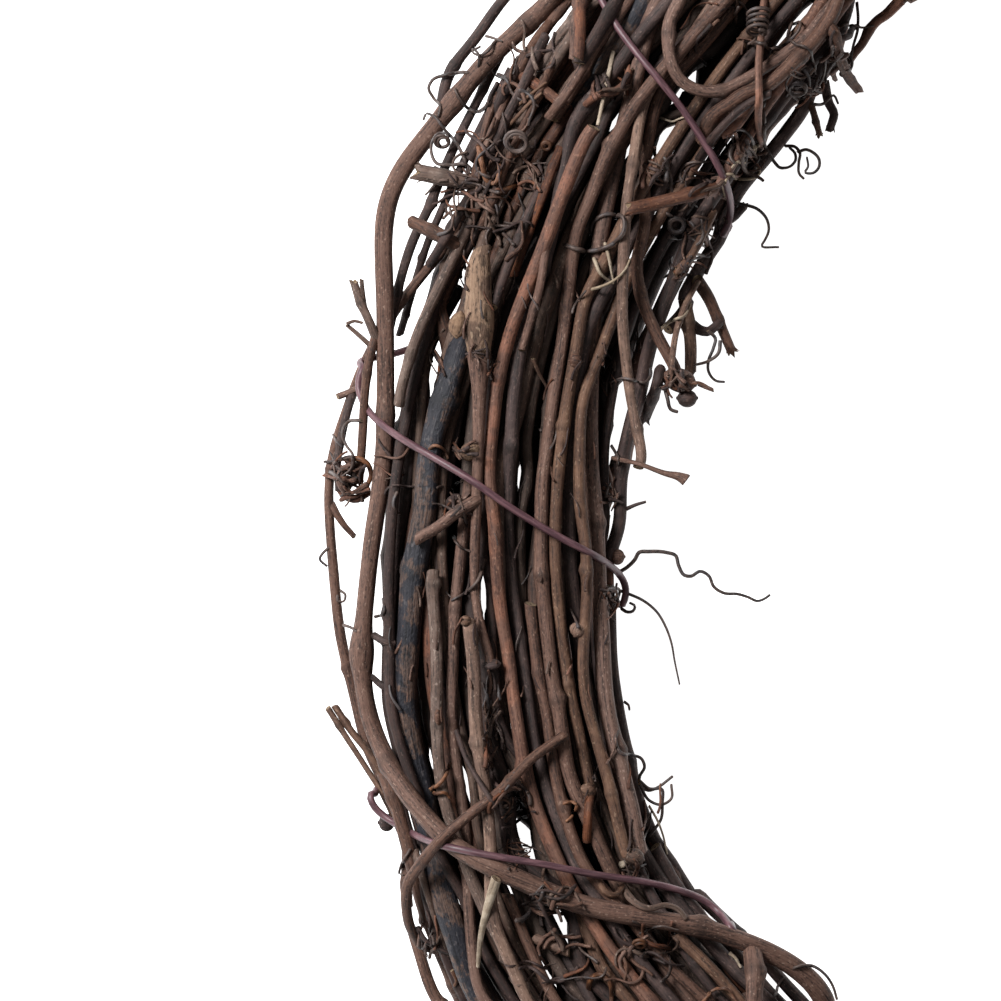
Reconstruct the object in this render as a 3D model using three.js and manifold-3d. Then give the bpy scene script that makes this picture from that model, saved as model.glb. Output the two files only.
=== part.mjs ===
// Grapevine wreath lying flat: dried vines run side by side round a ring, one fat vine is wound
// round the bundle and carries it on three flat spots, and a thin coated wire binds it all.
// Millimetres, +Z up. The origin is the middle of the bottom of the wreath's box.
import * as THREE from "three";
import { mergeVertices } from "three/addons/utils/BufferGeometryUtils.js";
import Module from "manifold-3d";

const wasm = await Module();
wasm.setup();

// Driving dimensions of the ring and its bundle
const RING_RADIUS = 148.4;
const BUNDLE_HALF_WIDTH = 24;
const BUNDLE_HALF_DEPTH = 15;
const BUNDLE_LEAN = -1.5;
const BUNDLE_DIP = -4.5;
const BUNDLE_DIP_SPREAD = 24;
// The ring bulges outward just past the top of the view, soon on the near side and slowly beyond
const BULGE = 18;
const BULGE_RING = 68;
const BULGE_NEAR_SPREAD = 12;
const BULGE_FAR_SPREAD = 28;
const CLEARANCE = 0.35;
const WIRE_DIAMETER = 1.55;
const WIRE_TURNS = 10;
const WRAP_DIAMETER = 4;
const FOOT_CUT = 0.5;
// Overlap that settling may leave, and the height below which a triangle is a sliver
const TOUCH = 0.02;
const SLIVER = 0.004;
// Half the ring angle that a vine's two ends leave open between them
const CUT_GAP = 2;
const LAYER_DEPTH = 3;
const BACK_VINES = 12;
const CORE_VINES = 7;
const WIRE_STEPS = 20;
const WRAP_STEP = 3.6;
const WRAP_SPACING = 9;
const SHOOTS_BEHIND_VIEW = 36;

// Planes through the ring's axis in which the vines' places are settled
const PLANES = 36;
const PLANE_STEP = 360 / PLANES;
const SETTLE_PASSES = 700;

// The course of each vine in view is written in photograph pixels and turned into millimetres here
const MM_PER_PIXEL = 0.209;
const RING_CENTRE_PIXEL = { x: 1177, y: 570 };

const TONES = {
  brown: { color: 0x6a5443, roughness: 0.85 },
  red: { color: 0x6b4838, roughness: 0.8 },
  grey: { color: 0x72675d, roughness: 0.88 },
  light: { color: 0x8b7459, roughness: 0.85 },
  dark: { color: 0x453930, roughness: 0.85 },
  stained: { color: 0x3b3c42, roughness: 0.7 },
  lichen: { color: 0x6f6252, roughness: 0.95 },
  pale: { color: 0xa08c70, roughness: 0.85 },
  wire: { color: 0x4d3b40, roughness: 0.5 },
};

// Front vines. upper runs from the top of the view to the vine's end in view, lower from its
// other end to the bottom of the view, and through crosses the view without an end. spursOnly
// marks a vine that bears no tendrils.
const FRONT_VINES = [
  {
    name: "vine_outer_thin", tone: "brown", width: 2.3, height: -8,
    upper: [[548, 20], [508, 108], [465, 205], [410, 290], [372, 345], [346, 408], [328, 475], [329, 540],
      [338, 640], [353, 700], [385, 790], [412, 855], [436, 930], [442, 956]],
    lower: [[412, 940], [420, 966], [430, 1000]],
  },
  {
    name: "vine_outer_dark", tone: "dark", width: 2.4, height: -2,
    upper: [[499, 0], [470, 45], [450, 63], [442, 100]],
    lower: [[460, 286], [430, 340], [412, 440], [404, 505], [394, 580], [388, 660], [388, 710], [405, 775]],
  },
  {
    name: "cane_stained", tone: "stained", width: 5.2, height: 0,
    through: [[545, 150], [520, 200], [500, 250], [470, 325], [450, 382], [432, 440], [425, 520], [410, 600],
      [406, 710], [418, 776], [440, 880], [460, 950], [470, 985]],
  },
  {
    name: "vine_outer_grey", tone: "grey", width: 2.5, height: 1,
    upper: [[500, 150], [480, 200], [448, 280], [420, 330], [397, 402]],
    lower: [[433, 572], [438, 640], [438, 716], [441, 775], [445, 800]],
  },
  {
    name: "vine_forked", tone: "brown", width: 2.2, height: 0,
    upper: [[625, 0], [610, 30], [580, 86], [554, 118]],
    lower: [[508, 890], [526, 936], [546, 980], [556, 1000]],
  },
  {
    name: "cane_stub_lichen", tone: "lichen", width: 5.2, height: 2, tip: 1.9,
    short: [[480, 252], [481, 290], [480, 325], [481, 390], [478, 500], [475, 580], [484, 640], [492, 662]],
  },
  {
    name: "vine_grey_long", tone: "grey", width: 2.6, height: 0, spursOnly: true,
    upper: [[578, 0], [577, 62]],
    lower: [[470, 480], [458, 580], [453, 660], [453, 740], [461, 800], [467, 870], [476, 990]],
  },
  {
    name: "vine_russet", tone: "red", width: 3, height: 0,
    upper: [[780, 66], [740, 120], [726, 140]],
    lower: [[590, 130], [562, 200], [528, 290], [506, 354], [493, 430], [489, 480], [497, 580], [514, 700]],
  },
  {
    name: "vine_dark_long", tone: "dark", width: 2.8, height: 0,
    through: [[572, 120], [556, 210], [545, 260], [520, 350], [512, 440], [508, 540], [516, 620], [524, 680]],
  },
  {
    name: "vine_red_cut", tone: "red", width: 2.4, height: 0.5,
    upper: [[800, 60], [745, 140], [715, 190]],
    lower: [[537, 380], [528, 450], [520, 560], [518, 600], [520, 740], [540, 820], [574, 864], [630, 905],
      [696, 984]],
  },
  {
    name: "vine_brown_long", tone: "brown", width: 2.6, height: 0,
    upper: [[660, 86], [642, 180], [636, 250], [652, 326], [688, 384]],
    lower: [[530, 604], [546, 710], [562, 800], [588, 870], [640, 930], [700, 994]],
  },
  {
    name: "vine_middle_brown", tone: "brown", width: 3, height: 0,
    through: [[575, 230], [562, 350], [548, 450], [543, 520], [542, 560], [552, 680], [566, 770]],
  },
  {
    name: "vine_middle_knobbed", tone: "light", width: 2.5, height: 0,
    upper: [[582, 300], [566, 400], [557, 480], [555, 560], [568, 680], [580, 740], [590, 790]],
    lower: [[580, 912], [590, 940], [600, 966]],
  },
  {
    name: "vine_middle_dark", tone: "dark", width: 3.1, height: 0,
    through: [[585, 330], [572, 430], [569, 520], [574, 600], [590, 700]],
  },
  {
    name: "vine_inner_light", tone: "light", width: 2.5, height: 0.5,
    upper: [[582, 400], [580, 500], [585, 630], [588, 710], [602, 760], [616, 820], [624, 856]],
    lower: [[676, 934], [710, 966], [736, 996]],
  },
  {
    name: "vine_inner_stout", tone: "brown", width: 3.6, height: 0,
    upper: [[656, 0], [626, 120], [600, 240], [593, 320], [590, 440], [596, 520], [600, 600], [606, 700],
      [624, 780], [638, 852]],
    lower: [[742, 1000], [770, 1035]],
  },
  {
    name: "vine_inner_edge", tone: "light", width: 2.7, height: -1,
    upper: [[700, 215], [680, 260], [648, 342], [628, 430], [622, 540], [619, 556]],
    lower: [[606, 585], [614, 640], [628, 730], [644, 790], [670, 840], [700, 896], [730, 925], [790, 990]],
  },
  {
    name: "vine_hanging_cut", tone: "light", width: 2.5, height: 3,
    upper: [[646, 90], [632, 160], [622, 282], [626, 360], [636, 420], [644, 468]],
    lower: [[466, 621], [474, 710], [490, 850], [492, 920], [510, 960], [526, 1000]],
  },
  {
    name: "vine_inner_thin", tone: "dark", width: 2, height: -3,
    through: [[660, 250], [628, 330], [606, 440], [606, 520]],
  },
  {
    name: "vine_inner_purple", tone: "dark", width: 2.8, height: -2,
    upper: [[830, 0], [780, 140], [735, 205], [700, 280], [668, 326]],
    lower: [[655, 850], [690, 905], [740, 960]],
  },
];

// The fat vine in view: beside the bundle, where its middle keeps a height, and then over the front
const WRAP_BESIDE = [[548, 2], [480, 66], [412, 152], [383, 225], [384, 290], [385, 410], [381, 480],
  [366, 590], [362, 652], [366, 710], [376, 745]];
const WRAP_BESIDE_HEIGHT = 5;
const WRAP_OVER = [[394, 776], [412, 800], [454, 844], [510, 872], [580, 902], [660, 922], [740, 946],
  [778, 968]];
// The rest of its way round: ring angle, and angle round the bundle (0 outside, 90 top, 180 inside)
const WRAP_BEYOND_VIEW = [
  { ring: -55, round: 205 }, { ring: -63.5, round: 270 }, { ring: -74, round: 340 },
  { ring: -92, round: 382 }, { ring: -118, round: 450 }, { ring: -146, round: 525 },
  { ring: -162, round: 580 }, { ring: -172.4, round: 630 }, { ring: -183, round: 690 },
  { ring: -202, round: 742 }, { ring: -228, round: 810 }, { ring: -256, round: 890 },
  { ring: -270, round: 940 }, { ring: -281.3, round: 990 }, { ring: -291, round: 1050 },
  { ring: -302, round: 1082 },
];
const WRAP_FEET = [-63.5, -172.4, -281.3];

// Ring angles at which the wire's turns come over the outer edge and go down at the inner edge.
// The first three are in view, and the rest follow at even steps.
const WIRE_CROSSINGS = [
  { outer: 47, inner: 38.4 },
  { outer: 14.1, inner: -3.2 },
  { outer: -15.9, inner: -38.6 },
];
const WIRE_STEP_ON = -36.1;
const WIRE_LEAN = -18;
for (let turn = WIRE_CROSSINGS.length; turn < WIRE_TURNS; turn += 1) {
  const outer = WIRE_CROSSINGS[turn - 1].outer + WIRE_STEP_ON;
  WIRE_CROSSINGS.push({ outer, inner: outer + WIRE_LEAN });
}

// Loose twigs that lie on the front, from end to end
const SURFACE_TWIGS = [
  {
    name: "vine_u_turn", tone: "brown", width: 3.1, tip: 2.8, sides: 5,
    course: [[674, 0], [664, 40], [674, 80], [704, 96], [740, 86], [772, 56], [812, 20], [830, -8]],
  },
  {
    name: "twig_looped", tone: "brown", width: 2.2, tip: 2, sides: 5,
    course: [[440, 958], [420, 948], [406, 918], [410, 880], [440, 838], [470, 812], [500, 788], [530, 758],
      [561, 736]],
  },
  {
    name: "twig_split_pale", tone: "pale", width: 2, tip: 1, sides: 4,
    course: [[496, 876], [486, 910], [480, 940], [478, 966]],
  },
  {
    name: "twig_thin_pale", tone: "pale", width: 1.2, tip: 1, sides: 4,
    course: [[613, 54], [605, 90], [597, 128]],
  },
  {
    name: "twig_curved_thin", tone: "dark", width: 1.2, tip: 1, sides: 4,
    course: [[456, 730], [466, 756], [480, 780], [496, 806], [504, 846]],
  },
  {
    name: "twig_trumpet", tone: "brown", width: 1.1, tip: 2.6, sides: 4,
    course: [[613, 458], [640, 465], [665, 474], [684, 480]],
  },
  {
    name: "twig_outer_long", tone: "light", width: 1.3, tip: 1.2, sides: 4,
    course: [[326, 712], [345, 742], [362, 768], [382, 800], [397, 834]],
  },
];

// Spurs that grow from the vines in view: from the root to the tip
const SPURS = [
  { width: 3.2, tip: 2.8, course: [[455, 245], [440, 236], [413, 222]] },
  { width: 2.8, tip: 2.2, course: [[460, 178], [440, 176], [420, 172]] },
  { width: 2.5, tip: 2, course: [[710, 193], [690, 198], [635, 208]] },
  { width: 2.8, tip: 1.6, course: [[704, 282], [716, 310], [734, 350]] },
  { width: 2.4, tip: 2, course: [[688, 300], [688, 330], [690, 366]] },
  { width: 1.8, tip: 1.6, course: [[472, 502], [444, 524], [418, 537]] },
  { width: 2.4, tip: 2, course: [[846, 70], [870, 38], [897, 0]] },
  { width: 2.2, tip: 1.8, course: [[824, 30], [835, 55], [862, 84]] },
  { width: 1.6, tip: 1.2, course: [[756, 50], [758, 100], [760, 140]] },
  { width: 2.3, tip: 2, course: [[374, 330], [365, 305], [358, 283]] },
  { width: 1.8, tip: 1.2, course: [[386, 642], [374, 636], [360, 633]] },
];

// Tendrils in view: from the root to the tip, with the height that each keeps above what it crosses
const TENDRILS = [
  {
    rise: 1, course: [[622, 570], [636, 560], [650, 552], [668, 553], [680, 566], [692, 577], [702, 572],
      [712, 578], [726, 594], [750, 598], [772, 596]],
  },
  { rise: 0.5, course: [[622, 592], [645, 602], [667, 628], [676, 662], [681, 686]] },
  {
    rise: 0.6, course: [[565, 248], [583, 252], [600, 250], [615, 243], [623, 232], [620, 219], [606, 214],
      [594, 222]],
  },
  {
    rise: 1, course: [[614, 728], [615, 742], [632, 756], [645, 768], [640, 782], [648, 792], [662, 788],
      [673, 778]],
  },
  {
    rise: 2, course: [[748, 62], [750, 30], [765, 24], [787, 44], [795, 30], [804, 50], [816, 66], [814, 90],
      [796, 96], [786, 84]],
  },
  {
    rise: 1, course: [[762, 104], [766, 130], [775, 155], [785, 164], [796, 156], [806, 160], [814, 170],
      [822, 156]],
  },
  { rise: 1, course: [[738, 202], [755, 206], [766, 215], [771, 228], [765, 243], [781, 246]] },
  { rise: 1, course: [[476, 80], [458, 70], [445, 72], [430, 80], [432, 95], [440, 108]] },
  { rise: 1, course: [[474, 172], [455, 166], [436, 162], [431, 148], [438, 134], [450, 138]] },
];

/** Repeatable random numbers, so that every build gives the same wreath. */
class Dice {
  constructor(seed) {
    this.state = seed;
  }
  roll() {
    this.state = (this.state * 16807) % 2147483647;
    return this.state / 2147483647;
  }
  between(low, high) {
    return low + (high - low) * this.roll();
  }
}

const mix = THREE.MathUtils.lerp;
const wrapAngle = (degrees) => ((degrees % 360) + 540) % 360 - 180;

/** A pixel of the photograph as millimetres from the ring's centre. */
function fromPixel([px, py]) {
  return { x: (px - RING_CENTRE_PIXEL.x) * MM_PER_PIXEL, y: (RING_CENTRE_PIXEL.y - py) * MM_PER_PIXEL };
}

/** Ring angle in degrees, counted upward from the leftmost point, and offset from the mean radius. */
function ringPlace({ x, y }) {
  return { ring: THREE.MathUtils.radToDeg(Math.atan2(y, -x)), out: Math.hypot(x, y) - RING_RADIUS };
}

/** The point at a ring angle, an offset outward and a height. */
function ringPoint(ring, out, height) {
  const angle = THREE.MathUtils.degToRad(ring);
  const reach = RING_RADIUS + out;
  return new THREE.Vector3(-reach * Math.cos(angle), reach * Math.sin(angle), height);
}

const outwardAt = (ring) => ringPoint(ring, 1 - RING_RADIUS, 0);

/** How far the ring bulges outward at a ring angle. */
function bulgeAt(ring) {
  const past = wrapAngle(ring - BULGE_RING);
  return BULGE * Math.exp(-((past / (past < 0 ? BULGE_NEAR_SPREAD : BULGE_FAR_SPREAD)) ** 2));
}

/** Where the bundle's middle lies, as an offset from the mean radius. */
function bundleMiddle(ring) {
  const dip = BUNDLE_DIP * Math.exp(-((wrapAngle(ring) / BUNDLE_DIP_SPREAD) ** 2));
  return BUNDLE_LEAN + dip + bulgeAt(ring);
}

/** Height of the middle of the front layer over an offset, on an ellipse. */
function frontHeight(ring, out) {
  const side = (out - bundleMiddle(ring)) / (BUNDLE_HALF_WIDTH + LAYER_DEPTH);
  return BUNDLE_HALF_DEPTH * Math.sqrt(Math.max(0, 1 - side * side));
}

/** Straight-line reading of a list of [key, value] pairs, held level past both ends. */
function readAlong(pairs, key) {
  if (key <= pairs[0][0]) return pairs[0][1];
  for (let i = 1; i < pairs.length; i += 1) {
    if (key <= pairs[i][0]) {
      const share = (key - pairs[i - 1][0]) / (pairs[i][0] - pairs[i - 1][0]);
      return mix(pairs[i - 1][1], pairs[i][1], share);
    }
  }
  return pairs[pairs.length - 1][1];
}

/** A vine of the ring as a row: the range of ring angles it fills and its wanted place in each plane. */
function makeRow(vine, dice) {
  const seen = [...(vine.upper ?? []), ...(vine.through ?? []), ...(vine.short ?? []), ...(vine.lower ?? [])];
  const places = seen.map((pixel) => ringPlace(fromPixel(pixel))).sort((a, b) => a.ring - b.ring);
  const low = places[0];
  const high = places[places.length - 1];
  const row = { ...vine, wantedOut: [], wantedHeight: [], hold: [] };
  if (vine.short) {
    row.start = low.ring;
    row.end = high.ring;
  } else if (vine.through) {
    const cut = dice.between(75, 285);
    row.start = cut + CUT_GAP;
    row.end = cut + 360 - CUT_GAP;
  } else {
    row.start = ringPlace(fromPixel(vine.upper[vine.upper.length - 1])).ring;
    row.end = ringPlace(fromPixel(vine.lower[0])).ring + 360;
    row.start = Math.max(row.start, row.end - 360 + CUT_GAP);
  }
  const pairs = places.map((place) => [place.ring, place.out]);
  const sway = [dice.between(-4, 4), dice.between(-3, 3), dice.between(-2, 2)];
  for (let k = 0; k < PLANES; k += 1) {
    const ring = wrapAngle(k * PLANE_STEP);
    let out;
    if (ring >= low.ring && ring <= high.ring) {
      out = readAlong(pairs, ring);
      row.hold.push(1);
    } else {
      const way = (((ring - high.ring) % 360) + 360) % 360 / (360 - (high.ring - low.ring));
      const turn = way * way * (3 - 2 * way);
      out = mix(high.out - bulgeAt(high.ring), low.out - bulgeAt(low.ring), turn);
      const settled = THREE.MathUtils.clamp(out, -20, 20);
      out = mix(out, settled, Math.min(1, 8 * way * (1 - way)));
      sway.forEach((reach, n) => {
        out += reach * Math.sin(Math.PI * (n + 2) * way);
      });
      out += bulgeAt(ring);
      row.hold.push(0);
    }
    row.wantedOut.push(out);
    row.wantedHeight.push(frontHeight(ring, out) + vine.height);
  }
  return row;
}

/** A vine that isn't seen from the front: it keeps near one place in the bundle and sways a little. */
function makeHiddenRow(name, tone, width, side, height, dice) {
  const cut = dice.between(70, 290);
  const row = { name, tone, width, wantedOut: [], wantedHeight: [], hold: [] };
  row.start = cut + CUT_GAP;
  row.end = cut + 360 - CUT_GAP;
  const phase = dice.between(0, 2 * Math.PI);
  for (let k = 0; k < PLANES; k += 1) {
    const ring = wrapAngle(k * PLANE_STEP);
    const turn = 2 * Math.PI * k / PLANES;
    const sway = 2.5 * Math.sin(turn + phase) + 1.5 * Math.sin(2 * (turn + phase));
    row.wantedOut.push(bundleMiddle(ring) + side + sway);
    row.wantedHeight.push(height);
    row.hold.push(0);
  }
  return row;
}

function makeRows() {
  const dice = new Dice(4217);
  const rows = FRONT_VINES.map((vine) => makeRow(vine, dice));
  const tones = ["brown", "dark", "grey", "red", "light"];
  for (let i = 0; i < BACK_VINES; i += 1) {
    const round = mix(-172, -8, i / (BACK_VINES - 1)) * Math.PI / 180;
    const width = dice.between(3.2, 4.4);
    rows.push(makeHiddenRow(`vine_back_${String(i + 1).padStart(2, "0")}`, tones[i % tones.length], width,
      BUNDLE_HALF_WIDTH * Math.cos(round) * 0.97, BUNDLE_HALF_DEPTH * Math.sin(round), dice));
  }
  for (let i = 0; i < CORE_VINES; i += 1) {
    const side = mix(-15, 15, i / (CORE_VINES - 1));
    const depth = BUNDLE_HALF_DEPTH * Math.sqrt(1 - (side / BUNDLE_HALF_WIDTH) ** 2) - LAYER_DEPTH;
    rows.push(makeHiddenRow(`vine_inside_${i + 1}`, tones[(i + 2) % tones.length], dice.between(3.4, 4.6),
      side, i % 2 === 0 ? depth : -depth, dice));
  }
  for (const row of rows) {
    row.out = [...row.wantedOut];
    row.rise = [...row.wantedHeight];
    row.radius = Array.from({ length: PLANES }, (_, k) => {
      if (!row.tip) return row.width / 2;
      const ring = wrapAngle(k * PLANE_STEP);
      return mix(row.tip, row.width, THREE.MathUtils.smoothstep(ring, 10, 19)) / 2;
    });
    row.fills = Array.from({ length: PLANES }, (_, k) => [0, 360, -360].some((turn) => {
      const from = k * PLANE_STEP + turn;
      return from + PLANE_STEP > row.start && from < row.end;
    }));
  }
  return rows;
}

// Vines that run aslant through the planes lie closer together than the planes show
const SLANTS = Array.from({ length: PLANES }, (_, k) => {
  const swing = bulgeAt((k + 1) * PLANE_STEP) - bulgeAt(k * PLANE_STEP);
  return Math.hypot(1, swing / (RING_RADIUS * THREE.MathUtils.degToRad(PLANE_STEP)));
});

/** Push two neighbouring rows apart between planes k and k + 1 where they come too close. */
function pushApart(a, b, k, slack) {
  const n = (k + 1) % PLANES;
  const startOut = a.out[k] - b.out[k];
  const startRise = a.rise[k] - b.rise[k];
  const stepOut = a.out[n] - b.out[n] - startOut;
  const stepRise = a.rise[n] - b.rise[n] - startRise;
  const square = stepOut * stepOut + stepRise * stepRise;
  const nearest = square > 0 ? -(startOut * stepOut + startRise * stepRise) / square : 0;
  const t = THREE.MathUtils.clamp(nearest, 0, 1);
  let awayOut = startOut + t * stepOut;
  let awayRise = startRise + t * stepRise;
  const touching = mix(a.radius[k] + b.radius[k], a.radius[n] + b.radius[n], t);
  const need = (touching + CLEARANCE) * SLANTS[k] + slack;
  let distance = Math.hypot(awayOut, awayRise);
  if (distance >= need) return 0;
  if (distance < 1e-6) {
    awayOut = 0;
    awayRise = 1;
    distance = 1;
  }
  const lack = need - Math.hypot(startOut + t * stepOut, startRise + t * stepRise);
  const weightA = 1 / (1 + 2 * a.hold[k]);
  const weightB = 1 / (1 + 2 * b.hold[k]);
  const spread = (1 - t) * (1 - t) + t * t;
  const push = lack / distance / spread / (weightA + weightB);
  a.out[k] += awayOut * push * weightA * (1 - t);
  a.rise[k] += awayRise * push * weightA * (1 - t);
  a.out[n] += awayOut * push * weightA * t;
  a.rise[n] += awayRise * push * weightA * t;
  b.out[k] -= awayOut * push * weightB * (1 - t);
  b.rise[k] -= awayRise * push * weightB * (1 - t);
  b.out[n] -= awayOut * push * weightB * t;
  b.rise[n] -= awayRise * push * weightB * t;
  return lack;
}

/** Let the rows find places that don't touch, close to where each one is wanted. */
function settleRows(rows) {
  let worst = 0;
  for (let pass = 0; pass < SETTLE_PASSES; pass += 1) {
    const calm = Math.min(1, pass / (SETTLE_PASSES * 0.7));
    const pull = 0.08 * (1 - calm);
    const smooth = 0.12 * (1 - calm);
    for (const row of rows) {
      const before = { out: [...row.out], rise: [...row.rise] };
      for (let k = 0; k < PLANES; k += 1) {
        const last = (k + PLANES - 1) % PLANES;
        const next = (k + 1) % PLANES;
        const bendOut = (before.out[last] + before.out[next]) / 2 - before.out[k];
        const bendRise = (before.rise[last] + before.rise[next]) / 2 - before.rise[k];
        const grip = pull * (1 + 2 * row.hold[k]);
        row.out[k] += smooth * bendOut + grip * (row.wantedOut[k] - row.out[k]);
        row.rise[k] += smooth * bendRise + pull * (row.wantedHeight[k] - row.rise[k]);
        row.rise[k] = Math.max(row.rise[k], row.radius[k] - BUNDLE_HALF_DEPTH - LAYER_DEPTH / 2);
      }
    }
    worst = 0;
    const slack = pass < SETTLE_PASSES * 0.9 ? 0.05 : 0.01;
    for (let i = 0; i < rows.length; i += 1) {
      for (let j = i + 1; j < rows.length; j += 1) {
        for (let k = 0; k < PLANES; k += 1) {
          if (rows[i].fills[k] && rows[j].fills[k]) {
            worst = Math.max(worst, pushApart(rows[i], rows[j], k, slack));
          }
        }
      }
    }
  }
  return worst;
}

/** Place and radius of a row at any ring angle, on the straight stretch between its two planes. */
function rowAt(row, ring) {
  const k = Math.floor((((ring % 360) + 360) % 360) / PLANE_STEP) % PLANES;
  const n = (k + 1) % PLANES;
  const outward = outwardAt(ring);
  const across = new THREE.Vector3(-outward.y, outward.x, 0);
  const from = ringPoint(k * PLANE_STEP, row.out[k], 0);
  const to = ringPoint(n * PLANE_STEP, row.out[n], 0);
  const t = from.dot(across) / (from.dot(across) - to.dot(across));
  return {
    out: mix(from.dot(outward), to.dot(outward), t) - RING_RADIUS,
    rise: mix(row.rise[k], row.rise[n], t),
    radius: mix(row.radius[k], row.radius[n], t),
  };
}

const rowFills = (row, ring) => [0, 360, -360].some((turn) => (
  ring + turn >= row.start && ring + turn <= row.end));

/** The row's own points from end to end, one in each plane and one at each cut end. */
function rowStations(row) {
  const rings = [row.start];
  for (let k = Math.ceil((row.start + 1) / PLANE_STEP); k * PLANE_STEP < row.end - 1; k += 1) {
    rings.push(k * PLANE_STEP);
  }
  rings.push(row.end);
  return rings.map((ring) => {
    const place = rowAt(row, ring);
    return {
      centre: ringPoint(ring, place.out, place.rise),
      out: outwardAt(ring),
      up: new THREE.Vector3(0, 0, 1),
      radius: place.radius,
    };
  });
}

/** Bend a closed cylinder so that its rings lie on the stations, and turn it right side out. */
function tube(stations, sides, spin = 0) {
  const steps = stations.length - 1;
  const geometry = new THREE.CylinderGeometry(1, 1, 1, sides, steps);
  const spot = geometry.attributes.position;
  const turned = new THREE.Vector3();
  for (let i = 0; i < spot.count; i += 1) {
    const station = stations[Math.round((spot.getY(i) + 0.5) * steps)];
    const x = spot.getX(i) * station.radius;
    const z = spot.getZ(i) * station.radius;
    turned.copy(station.centre)
      .addScaledVector(station.out, x * Math.cos(spin) + z * Math.sin(spin))
      .addScaledVector(station.up, z * Math.cos(spin) - x * Math.sin(spin));
    spot.setXYZ(i, turned.x, turned.y, turned.z);
  }
  return solidFrom(geometry);
}

/** A closed geometry as a solid, with its shared corners merged and its faces pointing outward. */
function solidFrom(geometry) {
  geometry.deleteAttribute("normal");
  geometry.deleteAttribute("uv");
  const merged = mergeVertices(geometry, 1e-5);
  const corners = new Float32Array(merged.attributes.position.array);
  const triangles = new Uint32Array(merged.index.array);
  if (signedVolume(corners, triangles) < 0) {
    for (let i = 0; i < triangles.length; i += 3) {
      [triangles[i], triangles[i + 1]] = [triangles[i + 1], triangles[i]];
    }
  }
  return new wasm.Manifold(new wasm.Mesh({ numProp: 3, vertProperties: corners, triVerts: triangles }));
}

function signedVolume(corners, triangles) {
  const [a, b, c] = [new THREE.Vector3(), new THREE.Vector3(), new THREE.Vector3()];
  let volume = 0;
  for (let i = 0; i < triangles.length; i += 3) {
    a.fromArray(corners, triangles[i] * 3);
    b.fromArray(corners, triangles[i + 1] * 3);
    c.fromArray(corners, triangles[i + 2] * 3);
    volume += a.dot(b.cross(c));
  }
  return volume;
}

/** Stations along free points, with a frame carried along without twist. */
function freeStations(points, radii) {
  const stations = [];
  const along = (i) => {
    const before = points[Math.max(0, i - 1)];
    const after = points[Math.min(points.length - 1, i + 1)];
    return after.clone().sub(before).normalize();
  };
  let up = new THREE.Vector3(0, 0, 1);
  if (Math.abs(along(0).z) > 0.9) up = new THREE.Vector3(1, 0, 0);
  for (let i = 0; i < points.length; i += 1) {
    const forward = along(i);
    up = up.clone().addScaledVector(forward, -up.dot(forward)).normalize();
    stations.push({ centre: points[i], out: forward.clone().cross(up), up, radius: radii[i] });
  }
  return stations;
}

/** Nearest points of two stretches: how far along each, and the vector between them. */
function nearest(a0, a1, b0, b1) {
  const u = a1.clone().sub(a0);
  const v = b1.clone().sub(b0);
  const w = a0.clone().sub(b0);
  const uu = u.lengthSq();
  const vv = v.lengthSq();
  const uv = u.dot(v);
  const uw = u.dot(w);
  const vw = v.dot(w);
  const spread = uu * vv - uv * uv;
  let s = spread > 1e-9 ? THREE.MathUtils.clamp((uv * vw - vv * uw) / spread, 0, 1) : 0;
  const t = vv > 0 ? THREE.MathUtils.clamp((uv * s + vw) / vv, 0, 1) : 0;
  s = uu > 0 ? THREE.MathUtils.clamp((uv * t - uw) / uu, 0, 1) : 0;
  const gap = w.addScaledVector(u, s).addScaledVector(v, -t);
  return { s, t, gap, distance: gap.length() };
}

/** The stretches of a chain of points, each a straight round bar that others keep clear of. */
function bars(owner, points, radii) {
  const list = [];
  for (let i = 0; i + 1 < points.length; i += 1) {
    list.push({ owner, a: points[i], b: points[i + 1], ra: radii[i], rb: radii[i + 1] });
  }
  return list;
}

/** Bars that come within reach of a chain. */
function barsNear(points, obstacles, skip, reach) {
  const box = new THREE.Box3().setFromPoints(points).expandByScalar(reach);
  const spot = new THREE.Box3();
  return obstacles.filter((bar) => (
    bar.owner !== skip && box.intersectsBox(spot.setFromPoints([bar.a, bar.b]))));
}

/** Move a chain's points clear of every bar near it, but for those held. Gives the worst lack left. */
function pushClear(points, radii, obstacles, { skip = "", held = 0, passes }) {
  const near = barsNear(points, obstacles, skip, 7);
  let worst = 0;
  for (let pass = 0; pass < passes; pass += 1) {
    worst = 0;
    for (let i = 0; i + 1 < points.length; i += 1) {
      if (i + 1 < held) continue;
      for (const bar of near) {
        const meet = nearest(points[i], points[i + 1], bar.a, bar.b);
        const need = mix(radii[i], radii[i + 1], meet.s) + mix(bar.ra, bar.rb, meet.t) + CLEARANCE;
        const lack = need - meet.distance;
        if (lack <= 0.005) continue;
        worst = Math.max(worst, lack);
        const away = meet.distance > 1e-6 ? meet.gap.normalize() : new THREE.Vector3(0, 0, 1);
        const step = lack + 0.01;
        const weightA = i < held ? 0 : 1 - meet.s;
        const weightB = meet.s;
        const spread = Math.max(0.25, weightA * weightA + weightB * weightB);
        points[i].addScaledVector(away, step * weightA / spread);
        points[i + 1].addScaledVector(away, step * weightB / spread);
      }
    }
    if (worst === 0) break;
  }
  return worst;
}

/** Settle a chain clear of all that is there, and let later pieces keep clear of it. */
function settleChain(name, points, radii, obstacles) {
  if (pushClear(points, radii, obstacles, { passes: 200 }) > TOUCH) throw new Error(`${name} finds no room`);
  obstacles.push(...bars(name, points, radii));
}

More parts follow.
